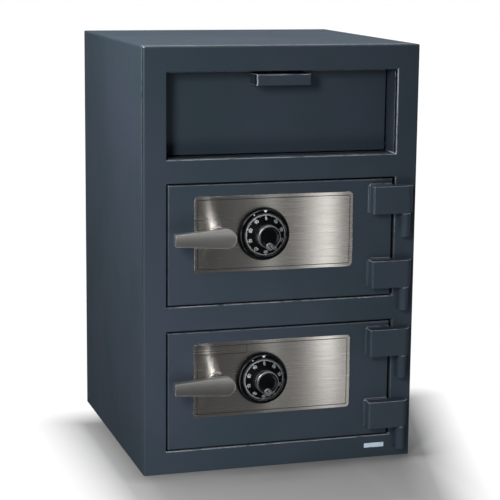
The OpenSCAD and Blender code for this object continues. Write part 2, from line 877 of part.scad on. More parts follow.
// Four screws that hold the rear cover
module cover_screws() {
    shank = screw_depth + cover_t;
    color(steel)
    for (p = housing_corners())
        translate([p[0], housing_back_y + cover_t + screw_head_h, p[1]]) rotate([90, 0, 0])
            rotate_extrude()
                polygon([
                    [0, 0.5], [1.5, 0], [screw_head_r - 1, 0], [screw_head_r, 1],
                    [screw_head_r, screw_head_h], [screw_shank_r, screw_head_h],
                    [screw_shank_r, screw_head_h + shank], [0, screw_head_h + shank]
                ]);
}

// Boltwork

// Flat bar that carries the locking bolts: an upright, a yoke for the crank and a lower arm
module bolt_bar() {
    low = bolt_levels[0] - bar_end;
    high = bolt_levels[bolt_count - 1] + bar_end;
    play = stud_r + slide_fit;
    slot_r = crank_pin_r + crank_slot_play;
    color(steel)
    plate_at(bar_back_y, bolt_bar_t)
        difference() {
            union() {
                edges_rect(bar_left, low, bar_right, high);
                edges_rect(bar_left, yoke_low, yoke_right, yoke_high);
                edges_rect(bar_left, arm_top - arm_h, arm_right, arm_top);
                edges_rect(arm_right - lug_w, arm_top - arm_h, arm_right, arm_top + lug_h);
            }
            round_slot(high_stud[0], high_stud[0] + bolt_throw, high_stud[1], play);
            round_slot(low_stud[0], low_stud[0] + bolt_throw, low_stud[1], play);
            edges_rect(crank_slot_x - slot_r, lever_height + crank_slot_low,
                crank_slot_x + slot_r, lever_height + crank_slot_high);
        }
}

// Round locking bolts with a chamfered nose, each slotted over the bolt bar
module locking_bolts() {
    l = bar_left + bolt_seat - bolt_tip_x;
    color(chrome)
    for (z = bolt_levels)
        difference() {
            translate([bolt_tip_x, bolt_y, z]) rotate([0, 90, 0])
                rotate_extrude()
                    polygon([[0, 0], [bolt_r - 1.5, 0], [bolt_r, 1.5], [bolt_r, l], [0, l]]);
            translate([bar_left, bar_front_y, z - bolt_d])
                cube([bolt_seat + cut, bolt_bar_t, 2 * bolt_d]);
        }
}

// Shoulder studs on the door that guide the bolt bar through its slots
module guide_studs() {
    shoulder = bar_front_y - slide_fit - door_back_y;
    grip = shoulder + bolt_bar_t + 2 * slide_fit;
    color(steel)
    for (p = [high_stud, low_stud])
        translate([p[0], door_back_y, p[1]]) rotate([-90, 0, 0])
            rotate_extrude()
                polygon([
                    [0, 0], [stud_head_r, 0], [stud_head_r, shoulder], [stud_r, shoulder],
                    [stud_r, grip], [stud_head_r, grip], [stud_head_r, grip + stud_head_t],
                    [0, grip + stud_head_t]
                ]);
}

// Crank on the lever's spindle: its pin runs in the yoke of the bolt bar
module crank_arm() {
    pin_x_rest = lever_x + crank_r * sin(45);
    pin_z_rest = lever_height + crank_r * cos(45);
    crank_back_y = crank_front_y + crank_t;
    color(steel) {
        plate_at(crank_back_y, crank_t)
            difference() {
                union() {
                    translate([lever_x, lever_height]) circle(spindle_r + 4);
                    translate([pin_x_rest, pin_z_rest]) circle(crank_pin_r + 3);
                    translate([lever_x, lever_height]) rotate(45)
                        edges_rect(0, -crank_pin_r - 2, crank_r, crank_pin_r + 2);
                }
                translate([lever_x, lever_height]) circle(spindle_r);
            }
        bar_y(pin_x_rest, pin_z_rest, crank_back_y, bar_back_y + 1, crank_pin_r);
    }
}

// Spindle and tapered neck of the lever
module lever_spindle() {
    neck = lever_standoff - trim_t - slide_fit;
    back_l = crank_front_y + crank_t - trim_front_y + slide_fit;
    base_r = neck_base_d / 2;
    color(chrome)
    turned_at(lever_x, trim_front_y - slide_fit, lever_height)
        polygon([
            [0, -back_l], [spindle_r, -back_l], [spindle_r, 0], [base_r, 0], [base_r, 3],
            [base_r - 2, 5], [neck_top_d / 2, neck], [0, neck]
        ]);
}

// Lever: a tapered blade with a round hub and a crowned, bevelled front
module lever_handle() {
    r = lever_hub_h / 2;
    tip = lever_tip_h / 2;
    color(chrome)
    translate([lever_x, 0, lever_height])
        intersection() {
            plate_at(lever_back_y, lever_t) {
                polygon([[hub_shift, -r], [hub_shift, r], [-lever_l, tip], [-lever_l, -tip]]);
                translate([hub_shift, 0]) circle(r);
            }
            bar_x(-lever_l - cut, r + hub_shift + cut, lever_back_y - lever_t + lever_crown_r, 0,
                lever_crown_r);
        }
}

// Combination lock

// Ring fixed around the dial, with a flat front inside a steep outer slope
module dial_ring() {
    r = dial_ring_d / 2;
    r_in = dial_r + dial_gap;
    h = dial_ring_h;
    color(black)
    turned_at(dial_x, trim_front_y, dial_height)
        polygon([
            [r_in, 0], [r, 0], [r, h / 3], [r - 2.5, h - 0.5], [r - 3, h],
            [r_in + 1, h], [r_in, h - 1]
        ]);
}

// Dial with a sloping skirt for the graduations, hollow around its hub
module dial() {
    rim = dial_rim_h;
    h = rim + dial_skirt_h;
    top_r = knob_d / 2 + 3;
    color(black)
    turned_at(dial_x, dial_back_y, dial_height)
        polygon([
            [0, 0], [dial_hub_r, 0], [dial_hub_r, h - 1 - dial_wall], [top_r, h - 1 - dial_wall],
            [dial_r - dial_wall, rim + 1 - dial_wall], [dial_r - dial_wall, 0], [dial_r, 0],
            [dial_r, rim], [dial_r - 1, rim + 1], [top_r, h - 1], [top_r - 2, h], [0, h]
        ]);
}

// Knob of the dial, fluted for grip, with a dished face
module fluted_knob() {
    r = knob_d / 2;
    l = knob_l;
    difference() {
        turned_at(dial_x, dial_front_y, dial_height)
            polygon([
                [0, 0], [r - 2, 0], [r - 2, 2], [r, 4], [r, l - 2], [r - 2, l],
                [r - 4, l], [r - 6, l - 1.5], [0, l - 1.5]
            ]);
        for (i = [0 : knob_flutes - 1])
            translate([dial_x, 0, dial_height]) rotate([0, i * 360 / knob_flutes, 0])
                bar_y(r + 0.6, 0, dial_front_y - l - cut, dial_front_y - 3, 1.4);
    }
}

// The knob with the barrel of its key lock, which stands a little proud below the middle
module dial_knob() {
    face_y = dial_front_y - knob_l - key_lock_rise;
    color(black)
    difference() {
        union() {
            fluted_knob();
            bar_y(dial_x, dial_height - key_lock_drop, face_y, dial_front_y, key_lock_d / 2);
        }
        translate([dial_x, face_y - cut, dial_height - key_lock_drop])
            rotate([0, key_slot_angle, 0]) translate([-key_slot_w / 2, 0, -key_slot_l / 2])
                cube([key_slot_w, key_slot_depth + cut, key_slot_l]);
    }
}

// Spindle of the dial with the drive cam at its rear end
module dial_spindle() {
    cam_y = lock_back_y - 3;
    color(brass) {
        bar_y(dial_x, dial_height, dial_back_y, cam_y + 1, dial_spindle_r);
        difference() {
            bar_y(dial_x, dial_height, cam_y - cam_t, cam_y, cam_r);
            translate([dial_x - wheel_gate / 2, cam_y - cam_t - cut, dial_height + cam_r - 5])
                cube([wheel_gate, cam_t + 2 * cut, 5 + cut]);
        }
    }
}

// Wheels of the lock on their post, each with its gate
module lock_wheels() {
    first_y = lock_front_y + lock_wall + 2;
    color(brass)
    for (i = [0 : wheel_count - 1])
        difference() {
            bar_y(dial_x, dial_height, first_y + i * wheel_pitch, first_y + i * wheel_pitch + wheel_t,
                wheel_r);
            bar_y(dial_x, dial_height, first_y - cut, lock_back_y, wheel_post_r + running_fit);
            translate([dial_x, 0, dial_height]) rotate([0, i * 110 + 40, 0])
                translate([-wheel_gate / 2, first_y - cut, wheel_r - 5])
                    cube([wheel_gate, lock_case_depth, 5 + cut]);
        }
}

// Lock case: a tray open to the rear, with the post for the wheels and the mouth for its bolt
module lock_case() {
    left = dial_x - lock_case_w / 2;
    right = dial_x + lock_case_w / 2;
    half_w = lock_bolt_w / 2 + slide_fit;
    half_t = lock_bolt_t / 2 + slide_fit;
    color(steel)
    difference() {
        union() {
            difference() {
                plate_at(lock_back_y, lock_case_depth)
                    edges_rect(left, lock_case_bottom, right, lock_case_top);
                plate_at(lock_back_y + cut, lock_case_depth - lock_wall + cut)
                    edges_rect(left + lock_wall, lock_case_bottom + lock_wall,
                        right - lock_wall, lock_case_top - lock_wall);
            }
            bar_y(dial_x, dial_height, lock_front_y, lock_front_y + lock_wall + wheel_post_l,
                wheel_post_r);
        }
        bar_y(dial_x, dial_height, lock_front_y - cut, lock_back_y, dial_spindle_r + running_fit);
        translate([dial_x - half_w, bolt_y - half_t, lock_case_bottom - cut])
            cube([2 * half_w, 2 * half_t, lock_wall + 2 * cut]);
    }
}

// Cover of the lock case
module lock_cover() {
    color(brass)
    plate_at(lock_back_y + lock_cover_t, lock_cover_t)
        translate([dial_x, (lock_case_bottom + lock_case_top) / 2])
            rounded_rect(lock_case_w, lock_case_up + lock_case_down, 3);
}

// The lock's own bolt, with the arm that carries the fence beside the wheels
module lock_bolt() {
    z0 = lock_case_bottom;
    arm_x = dial_x - wheel_r - fence_gap - fence_w;
    front_y = bolt_y - lock_bolt_t / 2;
    color(brass) {
        translate([dial_x - lock_bolt_w / 2, front_y, z0])
            cube([lock_bolt_w, lock_bolt_t, lock_bolt_l]);
        translate([arm_x, front_y, z0 + lock_wall + lock_bolt_throw + 1])
            cube([dial_x - arm_x, lock_bolt_t, lock_bolt_l - lock_wall - lock_bolt_throw - 1]);
        translate([arm_x, front_y, z0 + lock_wall + lock_bolt_throw + 1])
            cube([fence_w, lock_bolt_t, dial_height - z0 - lock_wall - lock_bolt_throw - 1]);
    }
}

body_shell();
front_frame();
divider_shelf();
hopper_deck();
hopper_liner();
hopper_comb();
hopper_pivots();
hopper_panel();
hopper_cheeks();
hopper_tray();
hopper_pull();
hinge_knuckles();
hinge_pins();
hinge_washers();
at_upper() door_plate();  // upper_door_plate
at_lower() door_plate();  // lower_door_plate
at_upper() hinge_blocks();  // upper_hinge_blocks
at_lower() hinge_blocks();  // lower_hinge_blocks
at_upper() dead_bar();  // upper_dead_bar
at_lower() dead_bar();  // lower_dead_bar
at_upper() trim_plate();  // upper_trim_plate
at_lower() trim_plate();  // lower_trim_plate
at_upper() hard_plate();  // upper_hard_plate
at_lower() hard_plate();  // lower_hard_plate
at_upper() housing();  // upper_housing
at_lower() housing();  // lower_housing
at_upper() housing_cover();  // upper_housing_cover
at_lower() housing_cover();  // lower_housing_cover
at_upper() cover_screws();  // upper_cover_screws
at_lower() cover_screws();  // lower_cover_screws
at_upper() guide_studs();  // upper_guide_studs
at_lower() guide_studs();  // lower_guide_studs
at_upper() bolt_bar();  // upper_bolt_bar
at_lower() bolt_bar();  // lower_bolt_bar
at_upper() locking_bolts();  // upper_locking_bolts
at_lower() locking_bolts();  // lower_locking_bolts
at_upper() lever_handle();  // upper_lever_handle
at_lower() lever_handle();  // lower_lever_handle
at_upper() lever_spindle();  // upper_lever_spindle
at_lower() lever_spindle();  // lower_lever_spindle
at_upper() crank_arm();  // upper_crank_arm
at_lower() crank_arm();  // lower_crank_arm
at_upper() dial_ring();  // upper_dial_ring
at_lower() dial_ring();  // lower_dial_ring
at_upper() dial();  // upper_dial
at_lower() dial();  // lower_dial
at_upper() dial_knob();  // upper_dial_knob
at_lower() dial_knob();  // lower_dial_knob
at_upper() dial_spindle();  // upper_dial_spindle
at_lower() dial_spindle();  // lower_dial_spindle
at_upper() lock_wheels();  // upper_lock_wheels
at_lower() lock_wheels();  // lower_lock_wheels
at_upper() lock_case();  // upper_lock_case
at_lower() lock_case();  // lower_lock_case
at_upper() lock_cover();  // upper_lock_cover
at_lower() lock_cover();  // lower_lock_cover
at_upper() lock_bolt();  // upper_lock_bolt
at_lower() lock_bolt();  // lower_lock_bolt
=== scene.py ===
"""Looks of a two-door deposit safe: its paint and metals, the marks of its dials and the fine
lines of its plates."""

import json
import math

import bmesh
import bpy
from bpy.props import FloatProperty, FloatVectorProperty, IntProperty, PointerProperty
from bpy.types import Operator, Panel, PropertyGroup
from mathutils import Matrix, Vector


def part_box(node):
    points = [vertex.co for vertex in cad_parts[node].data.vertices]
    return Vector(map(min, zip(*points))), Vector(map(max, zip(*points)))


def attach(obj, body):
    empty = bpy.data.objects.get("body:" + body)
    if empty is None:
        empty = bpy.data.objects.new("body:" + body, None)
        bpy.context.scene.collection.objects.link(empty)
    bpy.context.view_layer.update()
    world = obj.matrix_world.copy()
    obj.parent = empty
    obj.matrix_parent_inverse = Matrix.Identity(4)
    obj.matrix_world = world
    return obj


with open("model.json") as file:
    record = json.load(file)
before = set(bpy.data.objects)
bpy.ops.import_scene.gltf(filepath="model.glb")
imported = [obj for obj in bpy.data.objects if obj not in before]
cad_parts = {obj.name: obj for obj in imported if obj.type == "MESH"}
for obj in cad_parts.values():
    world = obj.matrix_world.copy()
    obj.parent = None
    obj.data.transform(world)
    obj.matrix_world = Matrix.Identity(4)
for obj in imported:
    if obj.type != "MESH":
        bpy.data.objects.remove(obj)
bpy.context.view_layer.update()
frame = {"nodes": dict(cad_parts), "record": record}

bl_info = {
    "name": "Deposit safe looks",
    "version": (1, 0, 0),
    "blender": (4, 5, 0),
    "location": "View3D > Sidebar > Deposit safe",
    "description": "Paints a deposit safe and adds its dial marks, plate lines and sticker",
    "category": "Object",
}

MM = 0.001
DOORS = ("upper", "lower")


# Sizes and colours


class SafePaint(PropertyGroup):
    """Baked paint of the cabinet and of its inside"""

    body_color: FloatVectorProperty(
        name="Body colour", description="Main colour of the outside paint", subtype="COLOR",
        default=(0.0225, 0.0325, 0.0415), min=0, max=1)
    body_tint: FloatVectorProperty(
        name="Second colour", description="Colour that the paint drifts to in broad patches",
        subtype="COLOR", default=(0.0262, 0.0342, 0.0465), min=0, max=1)
    inside_color: FloatVectorProperty(
        name="Inside colour", description="Colour of the paint behind the doors", subtype="COLOR",
        default=(0.060, 0.072, 0.088), min=0, max=1)
    # The worn edge colour is also the colour of the painted highlights on edges that face the
    # lamps, on the paint and on the black of the dials.
    worn_color: FloatVectorProperty(
        name="Worn edge colour", description="Bright metal where the paint has rubbed off",
        subtype="COLOR", default=(0.66, 0.68, 0.73), min=0, max=1)
    # The worn edge width also sets how far the painted edge highlights reach.
    edge_width: FloatProperty(
        name="Worn edge width", description="Reach of the wear from an edge", default=2.3 * MM,
        min=0.2 * MM, max=5 * MM, subtype="DISTANCE", unit="LENGTH")
    peel_size: FloatProperty(
        name="Orange peel", description="Size of one dimple of the orange peel",
        default=2.4 * MM, min=0.5 * MM, max=8 * MM, subtype="DISTANCE", unit="LENGTH")


class SafeMetal(PropertyGroup):
    """Bare metals of the trim plates, levers, boltwork and locks"""

    trim_color: FloatVectorProperty(
        name="Trim plate", description="Colour of the brushed trim plates", subtype="COLOR",
        default=(0.605, 0.58, 0.545), min=0, max=1)
    lever_color: FloatVectorProperty(
        name="Lever", description="Colour of the satin chrome levers", subtype="COLOR",
        default=(0.47, 0.465, 0.455), min=0, max=1)
    steel_color: FloatVectorProperty(
        name="Steel", description="Colour of the plain steel pieces", subtype="COLOR",
        default=(0.42, 0.41, 0.39), min=0, max=1)
    brass_color: FloatVectorProperty(
        name="Brass", description="Colour of the lock's brass pieces", subtype="COLOR",
        default=(0.62, 0.44, 0.18), min=0, max=1)
    zinc_color: FloatVectorProperty(
        name="Zinc", description="Colour of the cast lock cases", subtype="COLOR",
        default=(0.38, 0.39, 0.40), min=0, max=1)
    grain_length: FloatProperty(
        name="Brush line length", description="Length of one brush line on the trim plates",
        default=60 * MM, min=5 * MM, max=300 * MM, subtype="DISTANCE", unit="LENGTH")
    grain_pitch: FloatProperty(
        name="Brush line width", description="Width of one brush line on the trim plates",
        default=0.5 * MM, min=0.1 * MM, max=3 * MM, subtype="DISTANCE", unit="LENGTH")


class SafeDial(PropertyGroup):
    """Marks of the combination dials"""

    black_color: FloatVectorProperty(
        name="Dial black", description="Colour of the dials, rings and knobs", subtype="COLOR",
        default=(0.0014, 0.0016, 0.0018), min=0, max=1)
    mark_color: FloatVectorProperty(
        name="Mark colour", description="Colour of the filled marks", subtype="COLOR",
        default=(0.80, 0.82, 0.84), min=0, max=1)
    mark_count: IntProperty(
        name="Graduations", description="Number of marks around a dial", default=100, min=20,
        max=120)
    number_step: IntProperty(
        name="Number step", description="Marks from one number to the next", default=10, min=5,
        max=25)
    number_size: FloatProperty(
        name="Number size", description="Height of a number", default=5.2 * MM, min=2 * MM,
        max=8 * MM, subtype="DISTANCE", unit="LENGTH")
    mark_width: FloatProperty(
        name="Mark width", description="Width of one graduation", default=0.5 * MM,
        min=0.2 * MM, max=1.5 * MM, subtype="DISTANCE", unit="LENGTH")
    mark_rise: FloatProperty(
        name="Mark rise", description="How far the filled marks stand above the dial",
        default=0.08 * MM, min=0.02 * MM, max=0.3 * MM, subtype="DISTANCE", unit="LENGTH")


class SafePlates(PropertyGroup):
    """Fine lines of the trim plates, and the sticker at the foot"""

    line_inset: FloatProperty(
        name="Border inset", description="Distance of the engraved line from the plate's edge",
        default=5.5 * MM, min=2 * MM, max=15 * MM, subtype="DISTANCE", unit="LENGTH")
    line_width: FloatProperty(
        name="Line width", description="Width of the engraved lines", default=1.2 * MM,
        min=0.2 * MM, max=2 * MM, subtype="DISTANCE", unit="LENGTH")
    line_color: FloatVectorProperty(
        name="Line colour", description="Colour that fills the engraved lines", subtype="COLOR",
        default=(0.012, 0.011, 0.010), min=0, max=1)
    sticker_w: FloatProperty(
        name="Sticker width", description="Width of the sticker", default=38.5 * MM,
        min=10 * MM, max=60 * MM, subtype="DISTANCE", unit="LENGTH")
    sticker_h: FloatProperty(
        name="Sticker height", description="Height of the sticker", default=8.4 * MM,
        min=4 * MM, max=20 * MM, subtype="DISTANCE", unit="LENGTH")
    sticker_color: FloatVectorProperty(
        name="Sticker colour", description="Colour of the bare sticker", subtype="COLOR",
        default=(0.46, 0.56, 0.66), min=0, max=1)


class SafeStudio(PropertyGroup):
    """Floor, backdrop and lamps"""

    floor_color: FloatVectorProperty(
        name="Floor", description="Colour of the floor in the room's light", subtype="COLOR",
        default=(0.36, 0.36, 0.36), min=0, max=1)
    key_power: FloatProperty(
        name="Front light", description="Strength of the lamp at the front left", default=15.5,
        min=0, max=500)
    spark_power: FloatProperty(
        name="Spark light", description="Strength of the small lamp on the levers' necks",
        default=3300, min=0, max=5000)
    low_power: FloatProperty(
        name="Low front light", description="Strength of the low lamp in front", default=3.6, min=0,
        max=500)
    lever_power: FloatProperty(
        name="Lever light", description="Strength of the lamp that only lights one lever",
        default=6, min=0, max=500)
    back_power: FloatProperty(
        name="Back light", description="Strength of the lamp behind, at the right", default=30,
        min=0, max=500)
    side_power: FloatProperty(
        name="Left light", description="Strength of the lamp at the left", default=13, min=0,
        max=500)
    top_power: FloatProperty(
        name="Top light", description="Strength of the lamp above", default=86, min=0, max=500)
    sky_strength: FloatProperty(
        name="Room light", description="Strength of the even light of the room", default=0.13,
        min=0, max=2)


GROUPS = (
    ("safe_paint", SafePaint),
    ("safe_metal", SafeMetal),
    ("safe_dial", SafeDial),
    ("safe_plates", SafePlates),
    ("safe_studio", SafeStudio),
)


# Node trees

MIX_FIRST, MIX_SECOND, MIX_RESULT = 6, 7, 2  # The colour sockets of a mix node
SEEN = ("Is Camera Ray", "Is Glossy Ray", "Is Transmission Ray")


def scaled(color, factor):
    """A colour times a factor, at most white."""
    return [min(1, factor * c) for c in color]


class NodeTree:
    """A node tree under construction, with short calls for its nodes"""

    def __init__(self, tree, output):
        self.tree = tree
        self.tree.nodes.clear()
        self.output = self.node(output)

    def node(self, kind, **values):
        made = self.tree.nodes.new(kind)
        for key, value in values.items():
            setattr(made, key, value)
        return made

    def link(self, source, target):
        self.tree.links.new(source, target)

    def put(self, socket, value):
        """Sets a socket to a number, vector or colour, or links it to another socket."""
        if isinstance(value, bpy.types.NodeSocket):
            self.link(value, socket)
        elif socket.type == "RGBA":
            socket.default_value = (*value, 1)
        else:
            socket.default_value = value

    def ramp(self, source, low, high, to_low=0.0, to_high=1.0):
        """Takes low to to_low and high to to_high, straight between them and level outside."""
        made = self.node("ShaderNodeMapRange")
        values = {
            "Value": source, "From Min": low, "From Max": high, "To Min": to_low, "To Max": to_high}
        for name, value in values.items():
            self.put(made.inputs[name], value)
        return made.outputs["Result"]

    def math(self, operation, first, second=0.0):
        made = self.node("ShaderNodeMath", operation=operation)
        self.put(made.inputs[0], first)
        self.put(made.inputs[1], second)
        return made.outputs["Value"]

    def product(self, first, *others):
        for other in others:
            first = self.math("MULTIPLY", first, other)
        return first

    def rays(self, *kinds):
        """1 for rays of any of these kinds and 0 for all others."""
        path = self.node("ShaderNodeLightPath")
        found = path.outputs[kinds[0]]
        for kind in kinds[1:]:
            found = self.math("MAXIMUM", found, path.outputs[kind])
        return found


class Finish(NodeTree):
    """A material under construction"""

    def __init__(self, name):
        self.material = bpy.data.materials.new(name)
        self.material.use_nodes = True
        super().__init__(self.material.node_tree, "ShaderNodeOutputMaterial")
        self.shader = self.node("ShaderNodeBsdfPrincipled")
        self.link(self.shader.outputs["BSDF"], self.output.inputs["Surface"])
        self.place = self.node("ShaderNodeTexCoord").outputs["Object"]

    def set(self, **sockets):
        """Sets sockets of the shader, with _ for each space in a name."""
        for name, value in sockets.items():
            self.put(self.shader.inputs[name.replace("_", " ")], value)

    def axes(self):
        """The X, Y and Z of a point of the object."""
        parts = self.node("ShaderNodeSeparateXYZ")
        self.link(self.place, parts.inputs["Vector"])
        return [parts.outputs[axis] for axis in "XYZ"]

    def noise(self, size, detail=2.0, stretch=(1, 1, 1), rough=0.5):
        """Noise whose grains are about size metres across, longer by stretch along each axis."""
        mapping = self.node("ShaderNodeMapping")
        self.link(self.place, mapping.inputs["Vector"])
        mapping.inputs["Scale"].default_value = tuple(1 / s for s in stretch)
        made = self.node("ShaderNodeTexNoise")
        self.link(mapping.outputs["Vector"], made.inputs["Vector"])
        made.inputs["Scale"].default_value = 1 / size
        made.inputs["Detail"].default_value = detail
        made.inputs["Roughness"].default_value = rough
        return made.outputs["Fac"]

    def mix(self, share, first, second):
        made = self.node("ShaderNodeMix", data_type="RGBA")
        self.put(made.inputs["Factor"], share)
        self.put(made.inputs[MIX_FIRST], first)
        self.put(made.inputs[MIX_SECOND], second)
        return made.outputs[MIX_RESULT]

    def bump(self, height, depth, strength=1.0, below=None):
        """A bump of that depth in metres, on top of another normal if one is given."""
        made = self.node("ShaderNodeBump")
        self.put(made.inputs["Height"], height)
        made.inputs["Strength"].default_value = strength
        made.inputs["Distance"].default_value = depth
        if below is not None:
            self.link(below, made.inputs["Normal"])
        return made.outputs["Normal"]

    def rounded(self, width):
        """The normal of a piece with its edges rounded over that width."""
        bevel = self.node("ShaderNodeBevel", samples=8)
        bevel.inputs["Radius"].default_value = width
        return bevel.outputs["Normal"]

    def dot(self, first, second):
        made = self.node("ShaderNodeVectorMath", operation="DOT_PRODUCT")
        self.put(made.inputs[0], first)
        self.put(made.inputs[1], second)
        return made.outputs["Value"]

    def edges(self, normal, lit_side):
        """1 on edges, where a rounded normal leaves the flat one, and 0 on faces. Less on edges
        that point away from lit_side, the side from which a painted edge highlight is lit."""
        flat = self.node("ShaderNodeNewGeometry").outputs["True Normal"]
        found = self.ramp(self.dot(normal, flat), 0.995, 0.90)
        return self.product(found, self.ramp(self.dot(normal, lit_side), 0.05, 0.5))


def plate_side(made, normal, depth, height, strength):
    """Share of shade on the front plate's side: behind its corner, most in the upper half."""
    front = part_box("front_frame")[0].y
    sideways = made.ramp(made.math("ABSOLUTE", made.dot(normal, (1, 0, 0))), 0.75, 0.95)
    behind = made.ramp(depth, front + 3.4 * MM, front + 4.3 * MM)
    ahead = made.ramp(depth, front + 12.8 * MM, front + 13.8 * MM, 1.0, 0.0)
    upper = made.ramp(height, 0.25, 0.60, 0.15 * strength, strength)
    return made.product(sideways, behind, ahead, upper)


def paint_finish(name, paint, colors, wear, side_shade=0.0):
    """Satin baked paint with orange peel and broad drift. Its edges carry wear together with a
    painted highlight, most on those turned up and out towards the lamps, and least on upright edges
    low down."""
    made = Finish(name)
    _across, depth, height = made.axes()
    color = made.mix(made.ramp(made.noise(0.16, 2), 0.38, 0.62), *colors)
    round_edges = made.rounded(paint.edge_width)
    patches = made.ramp(made.noise(0.022, 4, rough=0.65), 0.34, 0.48)
    upright = made.ramp(made.dot(round_edges, (0, 0, 1)), 0.1, 0.4, 1.0, 0.0)
    low_down = made.ramp(height, 0.38, 0.66, 0.85, 0.0)
    left_over = made.math("SUBTRACT", wear, made.product(wear, upright, low_down))
    # Worn colour on edges: partly real wear, partly a painted highlight on the edges that face the
    # lamps, brighter high up.
    rubbed_and_highlit = made.product(made.edges(round_edges, (-0.62, -0.22, 0.75)), patches, left_over)
    if side_shade:
        shaded = plate_side(made, round_edges, depth, height, side_shade)
        color = made.mix(shaded, color, scaled(colors[0], 0.12))
        rubbed_and_highlit = made.product(rubbed_and_highlit, made.math("SUBTRACT", 1.0, shaded))
    made.set(
        Base_Color=made.mix(rubbed_and_highlit, color, paint.worn_color),
        Metallic=made.product(rubbed_and_highlit, 0.25),
        Roughness=made.ramp(made.noise(0.05, 4), 0.3, 0.7, 0.44, 0.49),
        IOR=1.5,
        Specular_IOR_Level=0.05,
        Normal=made.bump(made.noise(paint.peel_size, 1), 0.05 * MM, 0.35, round_edges),
    )
    return made.material


def brushed_finish(name, metal):
    """Brushed steel: fine lines along X that draw reflections out across them, with a painted
    highlight along the edges that face down and right.
    """
    made = Finish(name)
    color = metal.trim_color
    stretch = (metal.grain_length / metal.grain_pitch, 1, 1)
    lines = made.noise(metal.grain_pitch, 3, stretch, 0.6)
    broad = made.noise(3 * metal.grain_pitch, 2, stretch)
    patches = made.noise(0.06, 3, (2, 1, 1))
    round_edges = made.rounded(1.2 * MM)
    # Painted highlight: a lighter rim on the plate's edges that face down and right.
    rim = made.edges(round_edges, (0.65, -0.2, -0.7))
    grey = made.mix(made.ramp(lines, 0.25, 0.75, 0.0, 0.35), color, scaled(color, 0.62))
    grey = made.mix(made.ramp(patches, 0.4, 0.7, 0, 0.12), grey, scaled(color, 0.8))
    tangent = made.node("ShaderNodeTangent", direction_type="RADIAL", axis="X")
    made.set(
        Base_Color=made.mix(rim, grey, scaled(color, 1.6)),
        Metallic=1.0,
        Roughness=made.ramp(broad, 0.3, 0.7, 0.21, 0.28),
        Anisotropic=1.0,
        Tangent=tangent.outputs["Tangent"],
        Normal=made.bump(lines, 0.02 * MM, 0.7, round_edges),
    )
    return made.material


def metal_finish(name, color, rough, depth, stain, grain=0.6 * MM, stretch=(1, 1, 1)):
    """Plain bright metal with a fine grain and faint stains."""
    made = Finish(name)
    lines = made.noise(grain, 3, stretch, 0.6)
    stains = made.noise(0.03, 4, rough=0.6)
    made.set(
        Base_Color=made.mix(made.ramp(stains, 0.45, 0.75, 0, stain), color, scaled(color, 0.45)),
        Metallic=1.0,
        Roughness=made.ramp(lines, 0.3, 0.7, *rough),
        Normal=made.bump(lines, depth, 0.5, made.rounded(0.9 * MM)),
    )
    return made.material


def lever_finish(name, color):
    """Satin chrome with a painted highlight in pale white along its edges, brightest along the
    underside.
    """
    made = Finish(name)
    lines = made.noise(0.4 * MM, 3, (30, 1, 1), 0.6)
    stains = made.noise(0.02, 3, rough=0.6)
    shade = made.mix(made.ramp(stains, 0.4, 0.75, 0, 0.15), color, scaled(color, 0.6))
    # Painted highlight: near-white, less metallic colour on the edges, most on the underside.
    pale = made.edges(made.rounded(1.1 * MM), (0.35, -0.35, -0.87))
    made.set(
        Base_Color=made.mix(pale, shade, (0.92, 0.92, 0.91)),
        Metallic=made.ramp(pale, 0, 1, 1.0, 0.25),
        Roughness=made.ramp(lines, 0.3, 0.7, 0.31, 0.38),
        Normal=made.bump(lines, 0.008 * MM, 0.5, made.rounded(1.5 * MM)),
    )
    return made.material


def black_finish(name, color, worn_color):
    """Black enamel with a painted highlight along its edges, in patches, most on those that face up
    and left.
    """
    made = Finish(name)
    cloud = made.ramp(made.noise(0.012, 3), 0.35, 0.7)
    patches = made.ramp(made.noise(0.012, 3), 0.34, 0.50)
    round_edges = made.rounded(0.7 * MM)
    # Painted highlight: lighter patches on the edges that face up and left.
    rubbed_and_highlit = made.product(made.edges(round_edges, (-0.75, -0.2, 0.6)), patches, 0.7)
    made.set(
        Base_Color=made.mix(rubbed_and_highlit, made.mix(cloud, color, scaled(color, 1.8)), worn_color),
        Roughness=made.ramp(made.noise(6 * MM, 3), 0.3, 0.7, 0.28, 0.38),
        IOR=1.5,
        Specular_IOR_Level=0.02,
        Normal=made.bump(made.noise(0.9 * MM, 2), 0.01 * MM, 0.4, round_edges),
    )
    return made.material


def fill_finish(name, color, rough=0.5, patchy=0.25):
    """Paint that fills marks and lines, thinner in places."""
    made = Finish(name)
    thin = made.ramp(made.noise(2.5 * MM, 3), 0.35, 0.75, 0, patchy)
    made.set(
        Base_Color=made.mix(thin, color, scaled(color, 0.35)),
        Roughness=made.ramp(made.noise(1 * MM, 2), 0.3, 0.7, rough - 0.08, rough + 0.08),
        Normal=made.bump(made.noise(0.8 * MM, 2), 0.005 * MM, 0.5),
    )
    return made.material


# Meshes

SINK = 0.05 * MM  # How deep a mark on a flat front reaches below its face


def add_object(name, data):
    """Puts a mesh, text, lamp or camera in the scene."""
    made = bpy.data.objects.new(name, data)
    bpy.context.scene.collection.objects.link(made)
    return made


def add_piece(name, build, material, body):
    """Makes a mesh as a piece that rides on a body."""
    mesh = mesh_of(name, build)
    mesh.materials.append(material)
    piece = add_object(name, mesh)
    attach(piece, body)


def mesh_of(name, build):
    """A mesh from a bmesh that build fills in, with its normals outward."""
    shape = bmesh.new()
    build(shape)
    bmesh.ops.recalc_face_normals(shape, faces=shape.faces)
    mesh = bpy.data.meshes.new(name)
    shape.to_mesh(mesh)
    shape.free()
    return mesh


